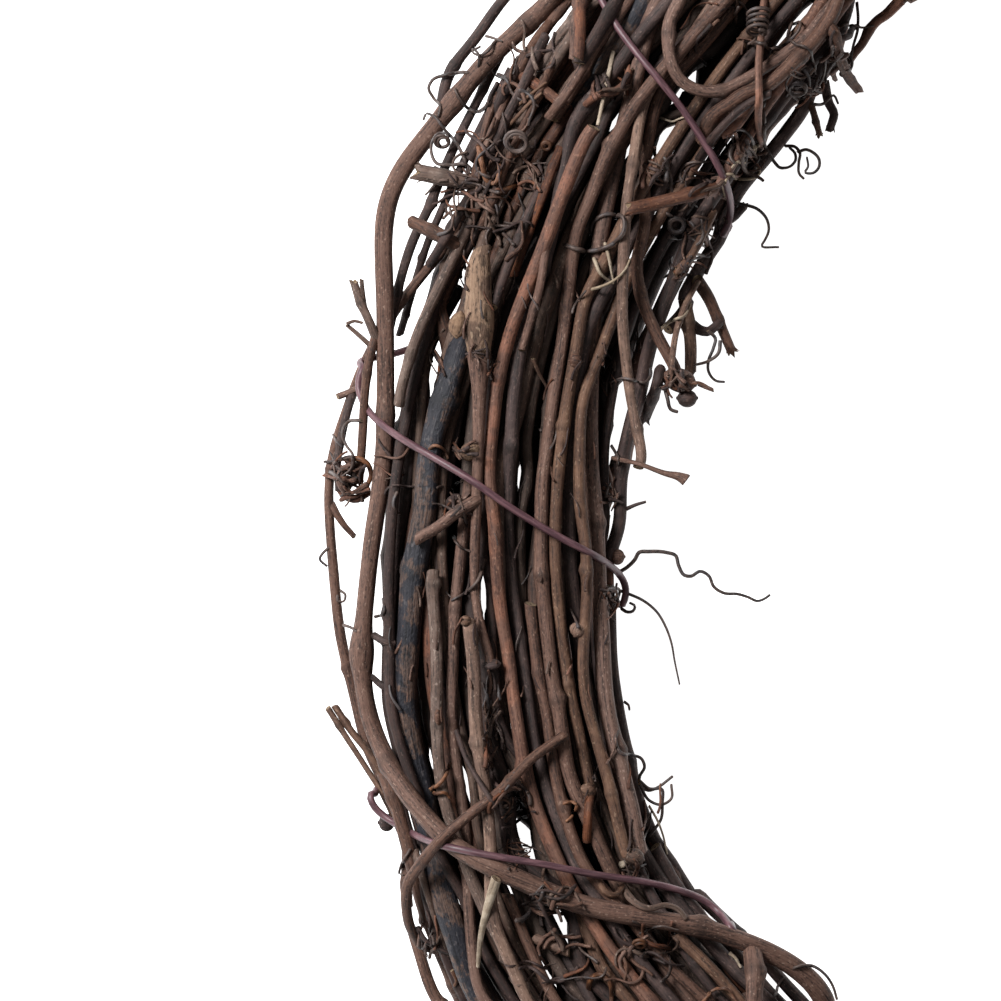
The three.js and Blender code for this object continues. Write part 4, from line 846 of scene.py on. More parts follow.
def skin_of(strand: Strand) -> Skin:
    """The strand's surface on a grid of stations along it by sides round it, closed by two caps.

    The radius is the strand's own, times one plus low waves round and along it, plus for each knot
    a broad swelling, a narrow ring and a bud on one side. A cut end leans, and a torn one is jagged.

    Args:
        strand: The strand.

    Returns:
        The corners, faces and marks of its surface.
    """
    rng = np.random.default_rng(strand.seed)
    along, beside, above = cross_frame(strand)
    length = path_length(strand.points)
    turn = np.linspace(0.0, 2 * np.pi, strand.sides, endpoint=False)[None, :]
    s, radius = length[:, None], strand.radii[:, None]
    phase = rng.uniform(0, 2 * np.pi, 8)
    wave = strand.ridge * sum(high * np.cos(lobes * turn + at + s / long)
                              for (high, lobes, long), at in zip(RIDGES, phase))
    wave = wave + strand.lump * sum(high * np.sin(s / long + at + lobes * turn)
                                    for (high, lobes, long), at in zip(LUMPS, phase[len(RIDGES):]))
    knot = np.zeros_like(s)
    for place in strand.knots:
        gap = s - place
        bud = rng.uniform(0, 2 * np.pi)
        size = strand.swell * rng.uniform(0.6, 1.25)
        broad = np.exp(-(gap / (1.3 * radius)) ** 2)
        ring = np.exp(-(gap / 0.45) ** 2)
        one_side = np.maximum(np.cos(turn - bud), 0.0) ** 3
        wave = wave + size * (0.55 * broad + 0.25 * ring) + 1.6 * size * one_side * np.exp(
            -((gap - 0.4 * radius) / (0.75 * radius)) ** 2)
        knot = np.maximum(knot, np.exp(-(gap / (0.6 * radius)) ** 2))
    reach = radius * (1 + wave)
    spoke = np.cos(turn)[..., None] * beside[:, None] + np.sin(turn)[..., None] * above[:, None]
    rings = strand.points[:, None] + reach[..., None] * spoke

    body = [rings]
    bark_s = [np.broadcast_to(s, reach.shape)]
    cores = [np.ones_like(reach)]
    poles, pole_core = [], []
    for end, at, way in ((strand.start, 0, -1.0), (strand.end, -1, 1.0)):
        r, forward = reach[at], way * along[at]
        lean = rng.uniform(0.15, 0.55) * (1 + np.cos(turn[0] - rng.uniform(0, 2 * np.pi)))
        if end is End.TORN:
            lean = lean + rng.uniform(0.0, 1.6, strand.sides)
        middle, side = strand.points[at], spoke[at] * r[:, None]
        if end is End.ROUND:
            lift, top = ROUND_LIFT * r, ROUND_TOP * r.mean()
            shell = [middle + ROUND_IN * side + forward * lift[:, None]]
        else:
            lift, top = lean * r, (lean * r).mean() - PITH_SINK * r.mean()
            shell = [middle + side + forward * lift[:, None],
                     middle + CUT_IN * side + forward * (lift + CUT_LIFT * r)[:, None]]
        shell_core = [np.full(strand.sides, value) for value in (1.0, CUT_CORE)[:len(shell)]]
        shell_s = [length[at] + way * lift] * len(shell)
        for stack, more in ((body, shell), (cores, shell_core), (bark_s, shell_s)):
            stack.insert(0 if way < 0 else len(stack), np.stack(more[::int(way)]))
        poles.append(middle + forward * top)
        pole_core.append(1.0 if end is End.ROUND else 0.0)

    grid, core, far = np.concatenate(body), np.concatenate(cores), np.concatenate(bark_s)
    rows, sides = core.shape
    index = np.arange(rows * sides).reshape(rows, sides)
    nxt = np.roll(index, -1, axis=1)
    quads = np.stack([index[:-1], nxt[:-1], nxt[1:], index[1:]], axis=-1).reshape(-1, 4)
    cut = [end is not End.ROUND for end in (strand.start, strand.end)]
    quad_cut = np.zeros((rows - 1, sides), dtype=bool)
    quad_cut[0], quad_cut[-1] = cut
    first, last = rows * sides, rows * sides + 1
    low = np.stack([np.full(sides, first), nxt[0], index[0]], axis=-1)
    high = np.stack([np.full(sides, last), index[-1], nxt[-1]], axis=-1)
    triangle_cut = np.repeat(cut, sides)

    corners = np.concatenate([grid.reshape(-1, 3), np.stack(poles)])
    pre = 1 + cut[0]
    post = rows - pre - len(length)
    full_r = np.concatenate([np.repeat(reach[:1], pre, 0), reach, np.repeat(reach[-1:], post, 0)])
    around = np.stack([full_r * np.cos(turn) * core, full_r * np.sin(turn) * core,
                       far + strand.seed % 97 * 31.0], axis=-1)
    bark = np.concatenate([around.reshape(-1, 3), [[0, 0, far[0, 0]], [0, 0, far[-1, 0]]]])
    knots = np.concatenate([np.repeat(knot[:1], pre, 0), knot, np.repeat(knot[-1:], post, 0)])
    knots = np.concatenate([np.broadcast_to(knots, (rows, sides)).reshape(-1), [0.0, 0.0]])
    if strand.floor:
        corners[:, 2] = np.maximum(corners[:, 2], 0.02 - RING_CENTRE[2])
    tone = np.full(len(corners), rng.uniform(0.0, 1.0))
    # The clear share marks where painted shade darkens the bark, deep in the bundle.
    return Skin(corners, quads, np.concatenate([low, high]), quad_cut.reshape(-1), triangle_cut, bark, tone,
                unshaded_share(corners), knots, np.concatenate([core.reshape(-1), pole_core]), strand.finish)


def knot_places(length: float, gap: tuple[float, float], rng: np.random.Generator) -> Array:
    """Places of the knots along a strand, at uneven steps between two lengths.

    Args:
        length: How far the knots go.
        gap: The least and the greatest step.
        rng: The source of its draws.

    Returns:
        Distances of the knots from the start.
    """
    steps = rng.uniform(*gap, int(length / gap[0]) + 2)
    places = rng.uniform(3.0, gap[0]) + np.cumsum(steps) - steps[0]
    return places[(places > 2.0) & (places < length - 2.0)]


def make_piece(name: str, strands: list[Strand], replaces: str = "") -> bpy.types.Object:
    """One object from its strands' skins, riding on the wreath's body.

    Args:
        name: the piece's name.
        strands: what it is made of.
        replaces: the CAD node that it stands for, if any.

    Returns:
        The new object, whose place is in its mesh.
    """
    skins = [skin_of(strand) for strand in strands]
    finishes = list(dict.fromkeys(skin.finish for skin in skins))
    cut = len(finishes)
    offsets = np.cumsum([0] + [len(skin.corners) for skin in skins])
    corners = np.concatenate([skin.corners for skin in skins])
    quads = np.concatenate([skin.quads + at for skin, at in zip(skins, offsets)])
    triangles = np.concatenate([skin.triangles + at for skin, at in zip(skins, offsets)])
    own = [finishes.index(skin.finish) for skin in skins]
    quad_mat = np.concatenate([np.where(s.quad_cut, cut, k) for s, k in zip(skins, own)])
    tri_mat = np.concatenate([np.where(s.triangle_cut, cut, k) for s, k in zip(skins, own)])

    mesh = bpy.data.meshes.new(name)
    mesh.vertices.add(len(corners))
    mesh.vertices.foreach_set("co", ((corners + RING_CENTRE) * MILLI).astype(np.float32).reshape(-1))
    mesh.loops.add(quads.size + triangles.size)
    mesh.loops.foreach_set("vertex_index", np.concatenate([quads.reshape(-1), triangles.reshape(-1)]))
    starts = np.concatenate([np.arange(len(quads)) * 4, quads.size + np.arange(len(triangles)) * 3])
    mesh.polygons.add(len(starts))
    mesh.polygons.foreach_set("loop_start", starts)
    mesh.polygons.foreach_set("material_index", np.concatenate([quad_mat, tri_mat]))
    mesh.polygons.foreach_set("use_smooth", np.concatenate([quad_mat, tri_mat]) != cut)
    # The clear attribute tells the materials where to paint shade: nought deep in the bundle, one at its
    # surface.
    for label in ("tone", "clear", "knot", "core"):
        mesh.attributes.new(label, "FLOAT", "POINT").data.foreach_set(
            "value", np.concatenate([getattr(skin, label) for skin in skins]).astype(np.float32))
    bark = np.concatenate([s.bark for s in skins]) * MILLI
    mesh.attributes.new("bark", "FLOAT_VECTOR", "POINT").data.foreach_set(
        "vector", bark.astype(np.float32).reshape(-1))
    mesh.update(calc_edges=True)
    for finish in finishes:
        mesh.materials.append(material_for(finish))
    mesh.materials.append(material_for(Finish.CUT))
    piece = bpy.data.objects.new(name, mesh)
    bpy.context.scene.collection.objects.link(piece)
    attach(piece, BODY)
    if replaces:
        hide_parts(replaces)
    LOG.info("%s: %d strands, %d triangles", name, len(strands), 2 * len(quads) + len(triangles))
    return piece


@dataclass(frozen=True)
class BarkLook:
    """A bark or wood as numbers: its colours, and how strong each of its marks is."""

    deep: Colour
    main: Colour
    bright: Colour
    patch: Colour
    patch_share: float
    fleck: float
    relief: float
    rough: float
    coarse: float


BARK_SHINE = 0.35
LOOKS: dict[Finish, BarkLook] = {finish: BarkLook(*row) for finish, *row in read_rows("""
BROWN 0.022,0.011,0.008 0.116,0.06,0.042 0.262,0.168,0.126 0.13,0.066,0.046 0.25 0.62 0.65 0.72 1;
REDDISH 0.036,0.014,0.009 0.165,0.063,0.034 0.3,0.15,0.09 0.112,0.054,0.036 0.25 0.45 0.65 0.72 1;
GREYISH 0.024,0.015,0.011 0.112,0.071,0.054 0.262,0.195,0.156 0.102,0.057,0.041 0.25 0.6 0.65 0.72 1;
LIGHT 0.034,0.018,0.012 0.16,0.089,0.059 0.335,0.225,0.16 0.124,0.066,0.045 0.25 0.55 0.65 0.72 1;
DARK 0.01,0.007,0.006 0.058,0.034,0.029 0.16,0.102,0.086 0.042,0.024,0.022 0.25 0.45 0.65 0.72 1;
STAINED 0.004,0.004,0.006 0.016,0.016,0.022 0.062,0.056,0.06 0.125,0.068,0.044 0.2 0.8 0.9 0.62 1.5;
CRUSTED 0.03,0.018,0.012 0.215,0.132,0.084 0.36,0.25,0.165 0.1,0.056,0.04 0.15 0.5 1 0.85 2;
PALE 0.15,0.11,0.078 0.43,0.35,0.265 0.62,0.54,0.44 0.28,0.21,0.145 0.25 0.15 0.6 0.8 1;
CHARCOAL 0.016,0.013,0.013 0.072,0.06,0.06 0.21,0.185,0.182 0.105,0.064,0.048 0.3 0.2 0.3 0.5 1;
RUSTY 0.035,0.014,0.008 0.185,0.078,0.038 0.32,0.17,0.095 0.1,0.055,0.038 0.25 0.15 0.3 0.6 1""")}


@dataclass
class NodeDesk:
    """Writes a material's nodes and the links between them."""

    tree: bpy.types.NodeTree

    def put(self, kind: str, **settings: object) -> bpy.types.Node:
        """A new node of a kind; a setting that names a socket sets or links it, another one an option.

        Args:
            kind: The node's type.
            settings: Its sockets and options.

        Returns:
            The node.
        """
        node = self.tree.nodes.new(kind)
        for key, value in settings.items():
            if key.startswith("in_"):
                self.feed(node.inputs[key[3:].replace("_", " ")], value)
            else:
                setattr(node, key, value)
        return node

    def feed(self, socket: Socket, value: object) -> None:
        """Links another node's socket in, or sets the value.

        Args:
            socket: The socket to set.
            value: A socket or a value.
        """
        if isinstance(value, Socket):
            self.tree.links.new(value, socket)
        else:
            socket.default_value = value

    def noise(self, place: Socket, size: tuple[float, float, float], detail: float = 2.0,
              harsh: float = 0.55) -> Socket:
        """Noise whose spots are so many metres wide, deep and long; gives its grey value.

        Args:
            place: The coordinates.
            size: Width, depth and length of a spot.
            detail: How many finer layers it has.
            harsh: How strong those are.

        Returns:
            The grey value.
        """
        scaled = self.put("ShaderNodeMapping", in_Vector=place, in_Scale=tuple(1.0 / k for k in size))
        return self.put("ShaderNodeTexNoise", in_Vector=scaled.outputs[0], in_Scale=1.0, in_Detail=detail,
                        in_Roughness=harsh).outputs["Fac"]

    def ramp(self, value: Socket, low: float, high: float) -> Socket:
        """A value stretched so that low becomes nought and high becomes one, smoothly."""
        return self.put("ShaderNodeMapRange", in_Value=value, in_From_Min=low, in_From_Max=high,
                        interpolation_type="SMOOTHSTEP").outputs[0]

    def math(self, what: str, a: object, b: object) -> Socket:
        """Two values reckoned together, as the kind of node says.

        Args:
            what: The operation.
            a: The first value.
            b: The second value.

        Returns:
            The result.
        """
        node = self.put("ShaderNodeMath", operation=what)
        self.feed(node.inputs[0], a)
        self.feed(node.inputs[1], b)
        return node.outputs[0]

    def times(self, value: Socket, factor: float, plus: object = None) -> Socket:
        """A value times a factor, and something added to it where that is given."""
        product = self.math("MULTIPLY", value, factor)
        return product if plus is None else self.math("ADD", product, plus)

    def blend(self, share: object, a: object, b: object) -> Socket:
        """Two colours mixed by a share.

        Args:
            share: How much of the second colour shows.
            a: The first colour.
            b: The second colour.

        Returns:
            The mixed colour.
        """
        node = self.put("ShaderNodeMix", data_type="RGBA")
        self.feed(node.inputs["Factor"], share)
        for socket, value in ((node.inputs[6], a), (node.inputs[7], b)):
            self.feed(socket, value if isinstance(value, Socket) else (*value, 1.0))
        return node.outputs[2]

    def bump(self, height: Socket, strength: float, distance: float) -> Socket:
        """A relief from heights."""
        return self.put("ShaderNodeBump", in_Height=height, in_Strength=strength,
                        in_Distance=distance).outputs[0]

    def marks(self, name: str) -> Socket:
        """What the mesh says under a name: a place where it is the bark's, or else a single value."""
        node = self.put("ShaderNodeAttribute", attribute_name=name)
        return node.outputs["Vector" if name == "bark" else "Fac"]

    def shader(self, colour: object, rough: object, shine: float, **settings: object) -> None:
        """The shader, joined to the material's output.

        Args:
            colour: The base colour.
            rough: Its roughness.
            shine: Its specular level.
            settings: More of the node's sockets and options.
        """
        shader = self.put("ShaderNodeBsdfPrincipled", in_Base_Color=colour, in_Roughness=rough,
                          in_Specular_IOR_Level=shine, **settings)
        self.put("ShaderNodeOutputMaterial", in_Surface=shader.outputs[0])


def new_desk(name: str) -> tuple[bpy.types.Material, NodeDesk]:
    """An empty node material and its desk.

    Args:
        name: The material's name.

    Returns:
        The material and its desk.
    """
    material = bpy.data.materials.new(name)
    material.use_nodes = True
    material.node_tree.nodes.clear()
    return material, NodeDesk(material.node_tree)


def bark_material(finish: Finish) -> bpy.types.Material:
    """Bark from fine fibres along the strand, broad streaks, patches, pale flecks and dark knots, with
    painted shade deep in the bundle.

    Args:
        finish: Its bark.

    Returns:
        The material.
    """
    look = LOOKS[finish]
    material, desk = new_desk(finish.value)
    place, tone, knot, clear = (desk.marks(name) for name in ("bark", "tone", "knot", "clear"))
    spot = desk.put("ShaderNodeTexCoord").outputs["Object"]
    wide = look.coarse
    fibre = desk.noise(place, (0.00030, 0.00030, 0.0060), 3.0, 0.6)
    streak = desk.noise(place, (0.00085, 0.00085, 0.0190))
    grain = desk.noise(place, (0.00042 * wide, 0.00042 * wide, 0.00075 * wide), 3.0, 0.65)
    cloud = desk.noise(spot, (0.0065, 0.0065, 0.0065), 3.0)
    fleck = desk.noise(place, (0.00050 * wide, 0.00050 * wide, 0.00095 * wide), 1.0)

    lines = desk.times(fibre, 0.36, plus=desk.times(streak, 0.28))
    mixed = desk.times(grain, 0.36, plus=lines)
    colour = desk.blend(desk.ramp(mixed, 0.38, 0.51), look.deep, look.main)
    colour = desk.blend(desk.times(desk.ramp(mixed, 0.52, 0.70), 0.85), colour, look.bright)
    patches = desk.ramp(desk.times(grain, 0.25, plus=cloud), 0.80 - look.patch_share, 0.88 - look.patch_share)
    colour = desk.blend(desk.times(patches, 0.75), colour,
                        desk.blend(desk.ramp(mixed, 0.38, 0.60), look.deep, look.patch))
    colour = desk.blend(desk.times(desk.ramp(fleck, 0.64, 0.72), look.fleck), colour, look.bright)
    colour = desk.blend(desk.times(knot, 0.55), colour, look.deep)
    colour = desk.put("ShaderNodeHueSaturation", in_Color=colour, in_Value=desk.times(tone, 0.50, plus=0.74),
                      in_Saturation=desk.times(tone, -0.25, plus=1.12)).outputs[0]
    # Painted shade: deep in the bundle, where the clear share is low, the colour is drawn most of the way to
    # a near-black.
    colour = desk.blend(clear, desk.blend(0.22, PAINTED_SHADE, colour), colour)
    normal = desk.bump(desk.times(grain, 0.6, plus=lines), look.relief, 0.00035 * wide)
    desk.shader(colour, desk.times(grain, 0.3, plus=look.rough - 0.15), BARK_SHINE, in_Normal=normal)
    return material


def coat_material() -> bpy.types.Material:
    """The wire's coating: purple-brown, faintly uneven, with a low sheen and small scuffs.

    Returns:
        The material.
    """
    material, desk = new_desk(Finish.COAT.value)
    place = desk.marks("bark")
    long = desk.noise(place, (0.0006, 0.0006, 0.0045))
    fine = desk.noise(place, (0.00022, 0.00022, 0.0006))
    colour = desk.blend(desk.ramp(long, 0.35, 0.68), (0.068, 0.030, 0.038), (0.150, 0.074, 0.084))
    colour = desk.blend(desk.times(desk.ramp(fine, 0.62, 0.74), 0.5), colour, (0.25, 0.155, 0.165))
    desk.shader(colour, desk.times(fine, 0.25, plus=0.34), 0.45, in_Normal=desk.bump(long, 0.25, 0.0002))
    return material


def cut_material() -> bpy.types.Material:
    """A cut end: a dark pith, pale wood with spokes, and a brown rim, with painted shade deep in the bundle.

    Returns:
        The material.
    """
    material, desk = new_desk(Finish.CUT.value)
    core, place, clear = (desk.marks(name) for name in ("core", "bark", "clear"))
    spot = desk.put("ShaderNodeTexCoord").outputs["Object"]
    fine = desk.noise(place, (0.00018, 0.00018, 0.01))
    stain = desk.noise(spot, (0.0011, 0.0011, 0.0011))
    colour = desk.blend(desk.ramp(fine, 0.35, 0.65), (0.16, 0.105, 0.062), (0.36, 0.265, 0.170))
    colour = desk.blend(desk.times(desk.ramp(stain, 0.48, 0.66), 0.6), colour, (0.085, 0.052, 0.034))
    pith = desk.math("SUBTRACT", 1.0, desk.ramp(core, 0.16, 0.26))
    colour = desk.blend(pith, colour, (0.050, 0.030, 0.020))
    colour = desk.blend(desk.ramp(core, 0.80, 0.90), colour, (0.055, 0.034, 0.023))
    # Painted shade: deep in the bundle the cut face is drawn most of the way to a near-black.
    colour = desk.blend(clear, desk.blend(0.15, PAINTED_SHADE, colour), colour)
    desk.shader(colour, 0.85, 0.25, in_Normal=desk.bump(fine, 0.6, 0.0002))
    return material


@cache
def material_for(finish: Finish) -> bpy.types.Material:
    """The material of a finish, made once."""
    special = {Finish.COAT: coat_material, Finish.CUT: cut_material}
    return special[finish]() if finish in special else bark_material(finish)


def node_corners(name: str) -> Array:
    """Corners of a CAD node, in millimetres from the object's own origin.

    Args:
        name: The CAD node's name.

    Returns:
        One row for each corner.
    """
    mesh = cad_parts[name].data
    flat = np.empty(len(mesh.vertices) * 3, dtype=np.float32)
    mesh.vertices.foreach_get("co", flat)
    return flat.reshape(-1, 3) * 1000.0


@dataclass
class RingRows:
    """Every vine that runs round the ring, as its place in evenly spaced planes through the axis."""

    names: list[str] = field(default_factory=list)
    starts: list[float] = field(default_factory=list)
    ends: list[float] = field(default_factory=list)
    out: Array = field(default_factory=lambda: np.zeros((0, PLANES)))
    rise: Array = field(default_factory=lambda: np.zeros((0, PLANES)))
    radius: Array = field(default_factory=lambda: np.zeros((0, PLANES)))
    hold: Array = field(default_factory=lambda: np.zeros((0, PLANES)))

    @property
    def rings(self) -> Array:
        """Ring angle of each plane."""
        return np.arange(PLANES) * 360.0 / PLANES

    def add(self, name: str, start: float, end: float, out: Array, rise: Array,
            radius: Array, hold: Array) -> None:
        """Adds one vine.

        Args:
            name: The vine's name.
            start: The ring angle where it starts.
            end: The ring angle where it ends.
            out: Its out at each plane.
            rise: Its rise at each plane.
            radius: Its radius at each plane.
            hold: How firmly it keeps its course at each plane.
        """
        self.names.append(name)
        self.starts.append(start)
        self.ends.append(end)
        for label, row in (("out", out), ("rise", rise), ("radius", radius), ("hold", hold)):
            setattr(self, label, np.vstack([getattr(self, label), row]))

    def fine_rows(self) -> list[Array]:
        """Outs, rises and radii at the finer planes."""
        return [self.fine(values) for values in (self.out, self.rise, self.radius)]

    def filled(self, rings: Array) -> Array:
        """Whether each vine is there at each ring angle."""
        start = np.array(self.starts)[:, None]
        return (rings[None, :] - start) % 360.0 <= (np.array(self.ends)[:, None] - start)

    def settle(self, passes: int) -> None:
        """Pushes the vines of each plane apart until they hardly press into each other.

        In each pass a vine is drawn a little to its wanted place and to its own neighbours in the
        planes beside, and each pair that is too close is pushed apart along the line between the
        two. A vine held to its course in view gives way mostly in height.

        Args:
            passes: How many times all pairs are gone over.
        """
        want_out, want_rise = self.out.copy(), self.rise.copy()
        filled = self.filled(self.rings).astype(np.float32)
        both = filled[:, None] * filled[None, :]
        need = (self.radius[:, None] + self.radius[None, :] - PRESS).astype(np.float32)
        give_out = 1.0 - HELD_SHARE * self.hold
        for turn in range(passes):
            calm = max(0.0, 1.0 - turn / (CALM_SHARE * passes))
            lack = want_out - self.out
            self.out += DRAW_OUT * calm * lack + DRAW_HELD * self.hold * lack
            self.rise += DRAW_RISE * calm * (want_rise - self.rise)
            for values in (self.out, self.rise):
                middle = (np.roll(values, 1, axis=1) + np.roll(values, -1, axis=1)) / 2
                values += DRAW_EVEN * calm * (middle - values)
            aside = (self.out[:, None] - self.out[None, :]).astype(np.float32)
            lift = (self.rise[:, None] - self.rise[None, :]).astype(np.float32)
            apart = np.sqrt(aside**2 + lift**2) + 1e-4
            push = np.maximum(need - apart, 0.0) * both / apart * PUSH_SHARE
            self.out += (push * aside).sum(axis=1) * give_out
            self.rise += (push * lift).sum(axis=1)
            self.rise = np.maximum(self.rise, self.radius - HALF_DEPTH - 1.5)

    def fine(self, values: Array) -> Array:
        """Values at finer planes: straight lines between planes, rounded off by a bell curve.

        Args:
            values: A row of values at the planes for each vine.

        Returns:
            The same at the finer planes.
        """
        at = np.arange(FINE) * PLANES / FINE
        low = np.floor(at).astype(int) % PLANES
        share = at - np.floor(at)
        drawn = values[:, low] * (1 - share) + values[:, (low + 1) % PLANES] * share
        return smoothed(drawn, 2.6)


def read_node(name: str) -> tuple[float, float, Array, Array, Array, Array]:
    """A ring vine's course, read from its CAD node.

    The node's corners that share a ring angle are one section: their mean is the vine's middle and
    their distance from it the radius. Sections stand at every tenth degree and at the two ends.

    Args:
        name: The CAD node's name.

    Returns:
        Ring angles of the start and the end, and the sections' ring angles, outs, rises and radii.
    """
    points = np.unique(np.round(node_corners(name), 3), axis=0) - RING_CENTRE
    ring, out = ring_place(points)
    order = np.argsort(ring)
    points, ring, out = points[order], ring[order], out[order]
    found = []
    for own in np.split(np.arange(len(ring)), np.where(np.diff(ring) > SECTION_GAP)[0] + 1):
        angle = ring[own].mean()
        spot = np.stack([out[own], points[own, 2]], axis=1)
        spot = spot[np.linalg.norm(spot - np.median(spot, axis=0), axis=1) < SECTION_REACH]
        if len(spot) < 3:
            continue
        size = np.linalg.norm(spot - spot.mean(axis=0), axis=1)
        spot = spot[size > 0.5 * size.max()]
        tenth = abs(angle - 10.0 * round(angle / 10.0)) < NEAR_TENTH
        if len(spot) >= (3 if tenth else 4):
            middle = spot.mean(axis=0)
            size = np.linalg.norm(spot - middle, axis=1)
            if size.std() < SECTION_SPREAD and size.mean() < SECTION_RADIUS:
                found.append((angle, *middle, size.mean(), tenth))
    table = np.array(found, dtype=float)
    ends = table[table[:, 4] == 0, 0]
    inside = table[table[:, 4] == 1, 0]
    low, high = (ends.min(), ends.max()) if len(ends) >= 2 else (inside.min(), inside.max())
    between = ((inside > low) & (inside < high)).mean()
    start, end = (low, high) if between > 0.5 else (high, low + 360.0)
    angles = start + (table[:, 0] - start) % 360.0
    angles = np.where(np.abs(table[:, 0] - start) < AT_START, start, angles)
    order = np.argsort(angles)
    table, angles = table[order], angles[order]
    keep = angles <= end + PAST_END
    return start, end, angles[keep], table[keep, 1], table[keep, 2], table[keep, 3]


def parted(path: Array, radii: Array) -> Array:
    """A hidden vine's path, bowed aside wherever the floor shows through a slit in the bundle.

    For each slit the path moves out or in, whichever side its middle is on, by what it lacks to
    clear the slit, and that move fades as an even S over three degrees of ring angle.

    Args:
        path: Points of the path, in millimetres.
        radii: The radius at each point.

    Returns:
        The bowed path.
    """
    ring, out = ring_place(path)
    for half_width, course in SLITS:
        at, away = ring_place(from_pixels(course))
        order = np.argsort(at)
        past = np.maximum(at.min() - ring, ring - at.max())
        beside = past < SLIT_BESIDE
        if not beside.any():
            continue
        gap = out - np.interp(ring, at[order], away[order])
        side = 1.0 if gap[beside].mean() >= 0 else -1.0
        lack = (radii + half_width * MM_PER_PIXEL - side * gap)[beside].max()
        out = out + side * max(0.0, lack) * (1 - smooth_step(past / SLIT_FADE))
    return ring_points(ring, out, path[:, 2])


@dataclass
class Wreath:
    """The ring of vines, with what is wound round it and what grows from it."""

    rows: RingRows = field(default_factory=RingRows)
    pile: Pile = field(default_factory=Pile)
    pieces: dict[str, list[Strand]] = field(default_factory=dict)
    courses: dict[str, tuple[Array, Array]] = field(default_factory=dict)
    finishes: dict[str, Finish] = field(default_factory=dict)

    def gather_rows(self) -> None:
        """Reads every ring vine from its node and draws those in view onto their seen courses."""
        tones = {**{n: v.finish for n, v in RING_VINES.items()},
                 **{n: BACK_TONES[i % 5] for i, n in enumerate(BACK_VINES)},
                 **{n: BACK_TONES[(i + 2) % 5] for i, n in enumerate(INSIDE_VINES)}}
        for name, finish in tones.items():
            start, end, angles, out, rise, radius = read_node(name)
            rings = start + (self.rows.rings - start) % 360.0
            row_out, row_rise = np.interp(rings, angles, out), np.interp(rings, angles, rise)
            hold = np.zeros(PLANES)
            seen = RING_VINES.get(name)
            for lift, course in seen.courses if seen else ():
                path = even_path(from_pixels(course), 1.5)
                ring, away = ring_place(path)
                order = np.argsort(ring)
                here = wrap_angle(self.rows.rings)
                past = np.maximum(ring.min() - here, here - ring.max())
                share = 1 - smooth_step(past / FADE_DEGREES)
                row_out += share * (np.interp(here, ring[order], away[order]) - row_out)
                row_rise += share * (seen.level + lift)
                hold = np.maximum(hold, share)
            self.rows.add(name, start, end, row_out, row_rise, np.interp(rings, angles, radius), hold)
            self.finishes[name] = finish

    def add_deep_strands(self) -> None:
        """Adds the many vines between the front and back layers, which only show through the gaps."""
        rng = np.random.default_rng(DEEP_SEED)
        turn = np.radians(self.rows.rings)
        for i in range(DEEP_STRANDS):
            front = i % 2 == 0
            side = rng.uniform(-21, 21) if front else rng.uniform(-17, 17)
            arch = math.sqrt(1 - (side / (HALF_WIDTH + 2)) ** 2)
            level = (HALF_DEPTH * arch - rng.uniform(2.5, 6.0) if front
                     else rng.uniform(-0.7, 0.6) * HALF_DEPTH * arch)
            phase = rng.uniform(0, 2 * np.pi, 3)
            sway = 2.6 * np.sin(turn + phase[0]) + 2.2 * np.sin(2 * turn + phase[1])
            sway = sway + 1.2 * np.sin(5 * turn + phase[2])
            out = bundle_middle(self.rows.rings) + side + sway
            rise = level + 1.2 * np.sin(3 * turn + phase[1])
            cut, length = rng.uniform(60, 300), rng.uniform(352, 357)
            if i % 5 < 3:
                late, short = 60.0 + rng.uniform(-4, 4), 326.0 + rng.uniform(-8, 6)
                if side < 4:
                    cut, length = late, short
            name = f"{DEEP}_{i:02d}"
            self.rows.add(name, cut, cut + length, out, rise,
                          np.full(PLANES, rng.uniform(1.0, 1.75)), np.zeros(PLANES))
            self.finishes[name] = BACK_TONES[int(rng.integers(0, 4))]

    def lay_rows(self) -> None:
        """Settles the rows, makes each one a strand with knots and slight kinks, and piles them up."""
        self.rows.settle(SETTLE_PASSES)
        out, rise, radius = self.rows.fine_rows()
        fine_rings = np.arange(FINE) * 360.0 / FINE
        for course in INNER_EDGES:
            at, away = ring_place(from_pixels(course))
            edge = np.interp(wrap_angle(fine_rings), [at[0] - 6, *at, at[-1] + 12], [-60, *away, -60])
            out = np.maximum(out, edge + radius)
        for i, name in enumerate(self.rows.names):
            rng = np.random.default_rng(ROW_SEED + i)
            seen, stub = name in RING_VINES, name == STUB
            end = self.rows.ends[i]
            near, far = SEEN_STEPS if seen else HIDDEN_STEPS
            rings = [self.rows.starts[i]]
            while rings[-1] < end:
                rings.append(rings[-1] + (near if abs(wrap_angle(rings[-1])) < VIEW_EDGE else far))
            ring = np.minimum(np.array(rings), end)[:-1]
            way, height, radii = (np.interp(ring % 360.0, fine_rings, values[i], period=360)
                                  for values in (out, rise, radius))
            path = ring_points(ring, way, height)
            length = path_length(path)
            knots = knot_places(length[-1], ROW_KNOT_GAPS, rng)
            path = self.kinked(path, length, knots, SEEN_KINK if seen else HIDDEN_KINK, rng)
            if not seen:
                path = parted(path, radii)
            if stub:
                radii, knots = self.stub_radii(path), np.zeros(0)
            elif not name.startswith(DEEP):
                radii = radii * (1 + 0.06 * np.sin(length / 60 + rng.uniform(0, 6)))
            wide = radii.mean() > 2.2
            strand = Strand(path, radii, self.finishes[name], sides=16 if wide else 12 if seen else 8,
                            seed=ROW_SEED + i, facing=np.broadcast_to([0.0, 0.0, 1.0], path.shape),
                            knots=knots, swell=0.24, ridge=0.05 if wide else 0.035)
            self.courses[name] = (path, radii)
            self.pile.add(path, radii, every=2 if seen else 1)
            self.pieces[name] = self.stub_parts(strand) if stub else [strand]

